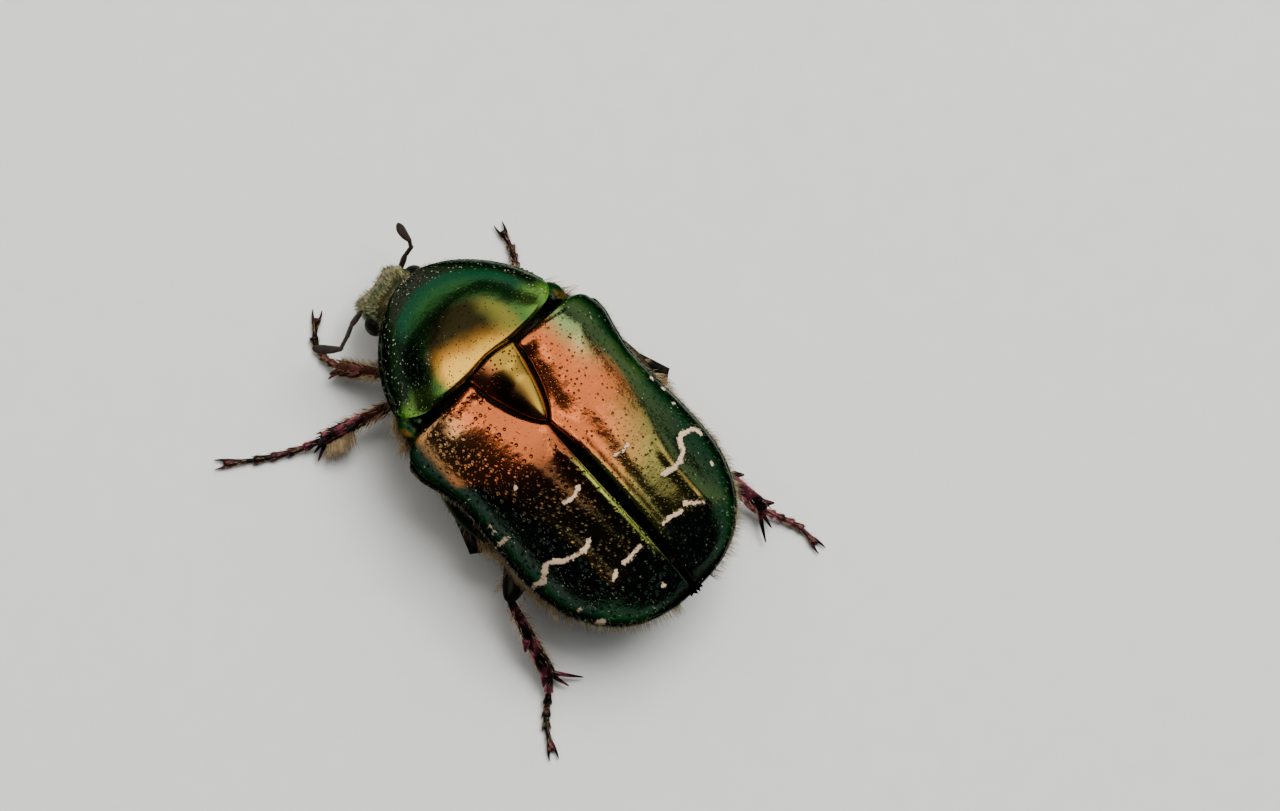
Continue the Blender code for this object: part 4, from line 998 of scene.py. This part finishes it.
def make_feeler(word, finish):
    """A long first joint, small beads, and a club of three leaves."""
    *stem, club_end = (Vector(point) for point in ANTENNAE[word])
    root = stem[0] + (stem[0] - stem[1]).normalized() * 0.35
    forms = []
    for start, end, beads, radius in zip([root] + stem[1:], stem[1:], (1, 3, 3), (0.125, 0.095, 0.085)):
        for bead in range(beads):
            first, last = start.lerp(end, bead / beads), start.lerp(end, (bead + 1) / beads)
            rows = round_rows((0, radius * 0.8), (0.65, radius), (1, radius * 0.9))
            joint = limb((last - first).length + 0.12, rows, 20, 16, 3.0)
            forms.append(moved(joint, frame_along(first, last)))
    for spread in (-1, 0, 1):
        rows = [(0, 0.08, 0.05), (0.35, 0.14, 0.06), (0.75, 0.17, 0.06), (1, 0.12, 0.04)]
        leaf = limb((club_end - stem[-1]).length + 0.1, rows, 24, 24, 3.0, 0.05)
        place = shift(-0.1, 0.03 * spread, spread * 0.1) @ turn(-4 * spread, "Y")
        forms.append(moved(leaf, frame_along(stem[-1], club_end) @ place))
    new_piece(f"{word}_feeler", one_mesh(*forms), finish, "antennae", f"{word}_antenna")


def hind_coxa_point(t, angle, side):
    """The wide plate in front of the hind leg, reaching out to a sharp corner."""
    share = from_pole(t)
    first, last = HIND_COXA_ROWS[0][0], HIND_COXA_ROWS[-1][0]
    x = first + (last - first) * share
    y, half_length, z, half_thick = smooth_table(HIND_COXA_ROWS, x)
    cap = both_ends(share, 6) if share < 0.5 else max(0.0, 1 - share**14)
    y += 0.1 * share**4 + half_length * cap * signed_power(cos(angle), 0.8)
    return Vector((side * x, y, z + half_thick * cap * signed_power(sin(angle), 0.8)))


def spur_heading(joints, share):
    """The level way in which a spur points: the shin's, turned away from the foot."""
    _, knee, ankle, toe, *_ = joints
    leg = atan2(ankle.y - knee.y, ankle.x - knee.x)
    foot = atan2(toe.y - ankle.y, toe.x - ankle.x)
    away = (leg - foot + pi) % (2 * pi) - pi
    away = copysign(max(radians(28), min(radians(45), abs(away))), away) * share
    return Vector((cos(leg + away), sin(leg + away), 0))


def foot_path(joints):
    """The ends of the foot's five joints, on a smooth line from the ankle."""
    line = joints[2:]
    lengths = [(b - a).length for a, b in zip(line, line[1:])]
    rows = [(sum(lengths[:i]) / sum(lengths), *point) for i, point in enumerate(line)]
    return [Vector(smooth_table(rows, share)) for share in (0.0, 0.19, 0.36, 0.53, 0.7, 1.0)]


def make_thigh(key, joints, finish):
    """The coxa and femur, with a ball where they meet."""
    pair, word = key.split("_")
    side = SIDES[word]
    hip, knee, *_ = joints
    rows = [(share, part * FEMUR_WIDTHS[pair], thick) for share, part, thick in FEMUR_ROWS]
    forms = [moved(limb((knee - hip).length + 0.12, rows, 36, 40, 3.0, ridge=0.03), frame_along(hip, knee))]
    if pair == "hind":
        forms.append(closed_form(60, 48, lambda t, angle: hind_coxa_point(t, angle, side)))
    else:
        length, start, end = COXAE[pair]
        start, end = (Vector((side * x, y, z)) for x, y, z in (start, end))
        upward = (0, 1, 0) if pair == "front" else (0, 0, 1)
        forms.append(moved(limb(length, COXA_ROWS, 32, 28), frame_along(start, end, upward)))
    ball = limb(0.5, round_rows((0, 0.2), (1, 0.2)), 20, 16, 2.0)
    forms.append(moved(ball, frame_along(hip - (knee - hip) * 0.08, hip)))
    new_piece(f"{key}_thigh", one_mesh(*forms), finish, "underside", f"{key}_coxa", f"{key}_femur")


def make_shin(key, joints, finish):
    """The tibia with its ridges, teeth, thorns and spurs, and the foot with five joints and two claws."""
    pair, _ = key.split("_")
    _, knee, ankle, *_ = joints
    length = (ankle - knee).length
    shin = frame_along(knee, ankle, unit(ankle.x, 0, 0) + Vector((0, 0, 0.8)))
    forms = [moved(limb(length, TIBIA_ROWS, 40, 48, 5.0, ridge=0.07), shin)]
    for share in TIBIA_TEETH[pair]:
        place = shift(share * length - 0.12, 0, 0.2) @ turn(-52, "Y")
        forms.append(moved(thorn(0.52, 0.2, 0.04), shin @ place))
    for index in range(14):
        lean = turn(-35 + 8 * CHANCE.random(), "Y")
        spin = turn(-70 + 140 * (index % 2) + 20 * CHANCE.random(), "X")
        place = shift((0.12 + 0.82 * index / 13) * length, 0, 0) @ spin @ shift(0, 0, 0.22) @ lean
        forms.append(moved(thorn(0.3, 0.035, 0.01), shin @ place))
    for index, spur in enumerate(SPUR_LENGTHS[pair]):
        start = shin @ Vector((length - 0.3, 0, 0))
        end = start + spur_heading(joints, 1.4 - 0.7 * index) * (spur + 0.3)
        end.z = SPUR_TIP_HEIGHT
        forms.append(moved(thorn((end - start).length, 0.14, 0.03, 0.06), frame_along(start, end)))
    for index in range(8):
        place = shift(length - 0.12, 0, 0) @ turn(45 * index, "X") @ shift(0, 0, 0.3)
        forms.append(moved(thorn(0.26, 0.035, 0.012), shin @ place))
    forms += foot_forms(joints)
    new_piece(f"{key}_shin", one_mesh(*forms), finish, "legs", f"{key}_tibia", f"{key}_tarsus")


def foot_forms(joints):
    path = foot_path(joints)
    forms = []
    for start, end, slim in zip(path, path[1:], (0.11, 0.11, 0.11, 0.11, 0.09)):
        length = (end - start).length + 0.1
        rows = [(0, slim, slim), (0.55, slim * 1.3, slim * 1.3), (0.88, 0.2, 0.19), (1, 0.17, 0.16)]
        joint = frame_along(start, end)
        forms.append(moved(limb(length, rows, 18, 18, 5.0), joint))
        for corner in (-1, 1):
            place = shift(length - 0.18, 0.1 * corner, -0.08) @ turn(18 * corner, "Z")
            forms.append(moved(thorn(0.26, 0.03, 0.01), joint @ place))
    level_end = Vector((path[-1].x, path[-1].y, path[-2].z))
    claws = frame_along(path[-2], level_end)
    claws.translation = path[-1]
    for spread in (-1, 1):
        place = shift(-0.14, 0.07 * spread, 0.0) @ turn(23 * spread, "Z") @ turn(6, "Y")
        forms.append(moved(thorn(0.6, 0.09, 0.02, -0.13 * spread), claws @ place))
    return forms


def near(surface, t, angle, outer):
    """A point of a surface, and the way straight out of it on the side of outer."""
    step = 0.01
    here = surface(t, angle)
    normal = (surface(min(1.0, t + step), angle) - here).cross(surface(t, angle + step) - here)
    if normal.length < 1e-9:
        normal = Vector((0, 0, 1))
    normal.normalize()
    return here, -normal if normal.dot(outer) < 0 else normal


class Coat:
    """Hair gathered strand by strand and made one mesh, with its patch map."""

    EDGES, RINGS = 3, 4

    def __init__(self, name, finish):
        self.name = name
        self.finish = finish
        self.rows = []

    def add_hair(self, point, normal, lie, length, width=0.011, spread=0.25, lift=1.0):
        """One hair that grows from point along normal and bends towards lie."""
        shake = Vector((CHANCE.gauss(0, spread), CHANCE.gauss(0, spread), CHANCE.gauss(0, spread)))
        way = normal * lift + lie * 0.5 + shake
        rest = lie + normal * 0.25 + shake * 0.8
        self.rows.append((*(point - normal * 0.04), *way, *rest, length, width, *patch_of(point)))

    def finished(self, slot):
        table = np.array(self.rows)
        root, way, lie = table[:, 0:3], table[:, 3:6], table[:, 6:9]
        length, width, patch = table[:, 9:10], table[:, 10:11], table[:, 11:13]
        count, rings, edges = len(table), self.RINGS, self.EDGES
        way /= np.maximum(1e-9, np.linalg.norm(way, axis=1, keepdims=True))
        lie /= np.maximum(1e-9, np.linalg.norm(lie, axis=1, keepdims=True))
        across = np.cross(way, lie + DICE.normal(0, 0.15, lie.shape))
        across /= np.maximum(1e-9, np.linalg.norm(across, axis=1, keepdims=True))
        third = np.cross(way, across)
        points = np.empty((count, rings * edges + 1, 3))
        for ring in range(rings + 1):
            share = ring / rings
            centre = root + (way * (1 - 0.5 * share) * share + lie * share**2 * 0.75) * length
            if ring == rings:
                points[:, -1] = centre
                continue
            for k in range(edges):
                angle = 2 * pi * k / edges
                spoke = across * cos(angle) + third * sin(angle)
                points[:, ring * edges + k] = centre + spoke * width * (1 - share) ** 0.6
        quads, tips = [], []
        for ring in range(rings):
            for k in range(edges):
                a, b = ring * edges + k, ring * edges + (k + 1) % edges
                if ring < rings - 1:
                    quads.append((a, b, b + edges, a + edges))
                else:
                    tips.append((a, b, rings * edges))
        tips.append(tuple(range(edges))[::-1])
        first = (np.arange(count) * (rings * edges + 1))[:, None, None]
        faces = []
        for shape in (quads, tips):
            faces += (np.array(shape)[None] + first).reshape(-1, len(shape[0])).tolist()
        mesh = bpy.data.meshes.new(self.name)
        mesh.from_pydata(points.reshape(-1, 3), [], faces)
        corner = np.array([(k % edges / edges, k // edges / rings) for k in range(rings * edges + 1)])
        places = (patch[:, None, :] + corner[None] * PATCH_SIZE).reshape(-1, 2)
        loops = np.empty(len(mesh.loops), np.int64)
        mesh.loops.foreach_get("vertex_index", loops)
        mesh.uv_layers.new(name="OFBake").data.foreach_set("uv", places[loops].ravel())
        bm = bmesh.new()
        bm.from_mesh(mesh)
        bmesh.ops.recalc_face_normals(bm, faces=bm.faces)
        bm.to_mesh(mesh)
        bm.free()
        new_piece(self.name, mesh, self.finish, slot)


def patch_of(point):
    """A place on the coat's map: the top and the underside lie side by side."""
    low = 0.5 if point.z < 4.2 else 0.0
    u = low + 0.02 + 0.46 * clamp((point.x + 10.5) / 21)
    v = 0.02 + 0.94 * clamp((point.y + 6.5) / 22)
    return u, v


def scatter(low, high):
    return low + (high - low) * CHANCE.random()


def any_side():
    return CHANCE.choice((-1, 1))


def on_side(side, angle):
    """An angle of the left side, mirrored for the right."""
    return angle if side > 0 else pi - angle


def grow_head_hair(coat):
    """Short hair lying forward over the head, none on the eyes."""
    matrix = head_matrix()
    tilt = matrix.to_3x3()
    eyes = [matrix @ eye_centre(side) for side in (-1, 1)]
    for _ in range(HEAD_HAIRS):
        t, angle = scatter(0.22, 0.86), scatter(-0.12, 1.12) * pi
        outer = tilt @ Vector((cos(angle), 0, sin(angle)))
        point, normal = near(lambda t, angle: matrix @ head_point(t, angle), t, angle, outer)
        if min((point - eye).length for eye in eyes) < EYE_RADIUS + 0.16:
            continue
        lie = (tilt @ Vector((0.5 * cos(angle), -1, 0.2))).normalized()
        coat.add_hair(point, normal, lie, scatter(0.14, 0.3), 0.012, 0.16, 0.5)


def grow_pronotum_hair(coat):
    """Fringes under the side margins and in front, and short scattered hairs on top."""
    fringe, top = PRONOTUM_HAIRS
    for _ in range(fringe):
        side = any_side()
        t = scatter(0.12, 0.85)
        angle = on_side(side, scatter(-0.95, -0.28))
        outer = Vector((side, -0.2, 0.2 * sin(angle)))
        point, normal = near(pronotum_point, t, angle, outer)
        lie = unit(side * 0.6, 0.5, -0.35)
        coat.add_hair(point, normal, lie, scatter(0.2, 0.5))
    for _ in range(top):
        t, angle = scatter(0.02, 0.8), scatter(0.06, pi - 0.06)
        point, normal = near(pronotum_point, t, angle, Vector((0, 0, 1)))
        rim = ramp(abs(point.x), 1.5, 3.4) + ramp(-point.y, 1.6, 3.4)
        if CHANCE.random() <= 0.15 + rim:
            coat.add_hair(point, normal, Vector((0, 1, 0)), scatter(0.10, 0.2), 0.009)


def grow_trunk_hair(coat):
    """Pale hair along the flanks, longest beside the hind legs, and short hair underneath."""
    flanks, hips, shoulders, belly = TRUNK_HAIRS
    for _ in range(flanks):
        y = scatter(0.3, 12.2)
        side = any_side()
        angle = scatter(-0.85, 0.1)
        if angle > -0.3 and CHANCE.random() < 0.75 * stretch(y, 1.6, 2.6, 5.4, 6.4):
            continue
        angle = on_side(side, angle)
        normal = unit(side, 0.15, sin(angle) * 1.2)
        lie = unit(side * 0.5, 0.9, -0.1)
        length = scatter(0.3, 0.6) if 5.6 < y < 8.8 else scatter(0.15, 0.36)
        coat.add_hair(trunk_surface(y, angle), normal, lie, length, 0.012)
    for _ in range(hips):
        y, side = 7.4 + CHANCE.gauss(0, 1.2), any_side()
        if not 5.4 < y < 10.8:
            continue
        angle = on_side(side, scatter(-0.35 - 0.3 * CHANCE.random(), 0.25))
        normal, lie = unit(side, 0.3, 0.1), Vector((side * 0.25, 1.0, 0.02))
        coat.add_hair(trunk_surface(y, angle), normal, lie, scatter(0.4, 0.75), 0.014, 0.12, 0.7)
    for _ in range(shoulders):
        y, side = scatter(-0.2, 1.2), CHANCE.choice((-1, 1, 1, 1))
        point = trunk_surface(max(0.05, y), on_side(side, scatter(-0.4, 0.0)))
        normal, lie = unit(side, 0.0, 0.2), Vector((side * 0.5, 0.7, 0))
        coat.add_hair(point, normal, lie, scatter(0.4, 0.75), 0.012, 0.3, 0.5)
    for _ in range(belly):
        point = trunk_surface(scatter(0.5, 12.0), scatter(-pi + 0.5, -0.5))
        coat.add_hair(point, Vector((0, 0.2, -1)), Vector((0, 1, -0.2)), scatter(0.15, 0.4))


def grow_wing_case_hair(coat):
    """A thin fringe along the outer and hind margin and a few short hairs on the disc."""
    fringe, disc = WING_CASE_HAIRS
    for _ in range(fringe):
        side = any_side()
        y = 1.5 + 11.2 * sin(CHANCE.random() * pi / 2)
        point = dome_point(side, 0.985, min(y, ELYTRA_END - 0.05), SEAM)
        normal = unit(point.x / 4.6, ramp(y, 8.0, 12.7), -0.2)
        length = scatter(0.15, 0.32) + 0.25 * ramp(y, 9.5, 12.0) * CHANCE.random()
        coat.add_hair(point, normal, Vector((side * 0.3, 0.8, 0)), length, 0.009)
    for _ in range(disc):
        side = any_side()
        share, y = scatter(0.3, 0.97), scatter(4.0, 12.3)
        normal = unit(side * share * 0.8, ramp(y, 8, 12.7), 1 - share)
        coat.add_hair(dome_point(side, share, y, SEAM), normal, Vector((0, 1, 0)), scatter(0.08, 0.16), 0.008)


def out_of_limb(start, end, share, angle, width):
    """A point on a round limb, and the way straight out of it."""
    normal = frame_along(start, end).to_3x3() @ Vector((0, cos(angle), sin(angle)))
    return start.lerp(end, share) + normal * width, normal


def grow_leg_hair(coat, joints, pair):
    """Hair along both edges of thigh and shin, a brush on the middle shins, and a little on the feet."""
    hip, knee, ankle, *_ = joints
    for start, end, width, count, low, high in (
        (hip, knee, FEMUR_WIDTHS[pair] * 0.8, THIGH_HAIRS, 0.2, 0.5),
        (knee, ankle, 0.28, SHIN_HAIRS[pair], 0.15, 0.45),
    ):
        for _ in range(count):
            share = scatter(0.08, 0.96)
            angle = CHANCE.choice((0, pi)) + CHANCE.gauss(0, 0.5)
            point, normal = out_of_limb(start, end, share, angle, width)
            coat.add_hair(point, normal, (end - start).normalized(), scatter(low, high))
    if pair == "middle":
        lie = Vector((copysign(0.8, hip.x), 0.7, 0))
        for _ in range(SHIN_BRUSH):
            point = knee.lerp(ankle, scatter(0.62, 0.98)) + Vector((0, 0.2, scatter(-0.12, 0.12)))
            coat.add_hair(point, Vector((0, 1, 0)), lie, scatter(0.45, 0.85), 0.015, 0.2, 0.3)
    path = foot_path(joints)
    for start, end in zip(path, path[1:]):
        for _ in range(FOOT_JOINT_HAIRS):
            angle, share = scatter(0, 2 * pi), scatter(0.3, 0.95)
            point, normal = out_of_limb(start, end, share, angle, 0.14)
            if point.z >= 0.12:
                coat.add_hair(point, normal, (end - start).normalized(), scatter(0.12, 0.28), 0.009)


def make_coats():
    head_fur = fur_finish("head_fur", (0.36, 0.33, 0.17), (0.08, 0.075, 0.04))
    pale_fur = fur_finish("pale_hair", (0.48, 0.35, 0.20), (0.20, 0.13, 0.06))
    grey_fur = fur_finish("grey_hair", (0.36, 0.32, 0.20), (0.12, 0.10, 0.06))
    for name, finish, grow, slot in (
        ("head_hair", head_fur, grow_head_hair, "underside"),
        ("pronotum_hair", grey_fur, grow_pronotum_hair, "thorax_shell"),
        ("trunk_hair", pale_fur, grow_trunk_hair, "underside"),
        ("wing_case_hair", grey_fur, grow_wing_case_hair, "elytra_shell"),
    ):
        coat = Coat(name, finish)
        grow(coat)
        coat.finished(slot)
    for key, joints in LEGS.items():
        coat = Coat(f"{key}_leg_hair", pale_fur)
        grow_leg_hair(coat, joints, key.split("_")[0])
        coat.finished("legs")


def make_camera():
    """The photograph's view: almost straight down, tilted a little towards the beetle's left."""
    target = BODY_ORIGIN + Vector(VIEW_TARGET) / 1000
    tilt = radians(VIEW_TILT)
    back = Vector((sin(tilt), 0, cos(tilt)))
    right = Vector(VIEW_RIGHT)
    right = (right - back * right.dot(back)).normalized()
    data = bpy.data.cameras.new("photo_view")
    data.sensor_width = 36
    data.lens = data.sensor_width * VIEW_DISTANCE / VIEW_WIDTH
    data.clip_start = 0.01
    camera = linked("photo_view", data)
    camera.matrix_world = axes_at(target + back * VIEW_DISTANCE, right, back.cross(right), back)
    bpy.context.scene.camera = camera


def add_panel(name, azimuth, zenith, distance, width, height, glow, colour):
    """A soft panel: azimuth from +X towards +Y and zenith from straight up, in degrees."""
    a, z = radians(azimuth), radians(zenith)
    way = Vector((sin(z) * cos(a), sin(z) * sin(a), cos(z)))
    data = bpy.data.lights.new(name, "AREA")
    data.shape = "RECTANGLE"
    data.size, data.size_y = width, height
    data.energy = glow * 4 * width * height
    data.color = colour
    light = linked(name, data)
    side = Vector((0, 0, 1)).cross(way).normalized()
    light.matrix_world = axes_at(Vector((0, 0, 0.005)) + way * distance, side, way.cross(side), way)
    return light


def make_lights():
    """Soft panels that the shells mirror, and a broad light that they don't, for the floor and the hair."""
    add_panel("key_panel", 222, 33, 0.4, 0.62, 0.46, 1.2, (1.0, 0.97, 0.92))
    add_panel("front_panel", 290, 33, 0.4, 0.18, 0.3, 0.9, (1.0, 0.97, 0.92))
    add_panel("tail_panel", 150, 38, 0.4, 0.2, 0.3, 0.7, (0.95, 0.97, 1.0))
    add_panel("side_panel", 180, 82, 0.4, 0.5, 0.16, 0.8, (0.92, 0.97, 1.0))
    floor_light = add_panel("floor_light", 200, 25, 0.6, 0.3, 0.3, 14.0, (1.0, 0.98, 0.95))
    floor_light.visible_glossy = False
    world = bpy.data.worlds.new("studio")
    bpy.context.scene.world = world
    world.use_nodes = True
    background = world.node_tree.nodes["Background"]
    background.inputs["Color"].default_value = (0.55, 0.62, 0.60, 1)
    background.inputs["Strength"].default_value = 0.05


def make_floor():
    bm = bmesh.new()
    bmesh.ops.create_grid(bm, x_segments=1, y_segments=1, size=0.6)
    floor = linked("floor", mesh_of(bm))
    paper = Finish("floor_paper")
    colour = paper.mix(paper.noise(0.8, 4.0), (0.66, 0.67, 0.66), (0.72, 0.73, 0.72))
    floor.data.materials.append(paper.set(colour, 0.8))


make_camera()
make_lights()
make_floor()
case_look = elytra_finish()
for case_word, case_side in SIDES.items():
    make_wing_case(case_word, case_side, case_look)
make_pronotum(pronotum_finish())
make_shield(shield_finish())
make_trunk(underside_finish("underside_plates", (0.016, 0.026, 0.015), (0.06, 0.038, 0.02)))
make_side_plates(side_plate_finish())
make_head(head_finish(), eye_finish(), antenna_finish())
thigh_look = underside_finish("thigh_shell", (0.006, 0.008, 0.006), (0.022, 0.014, 0.010))
shin_look = shin_finish()
for leg_name, leg_joints in LEGS.items():
    make_thigh(leg_name, leg_joints, thigh_look)
    make_shin(leg_name, leg_joints, shin_look)
make_coats()
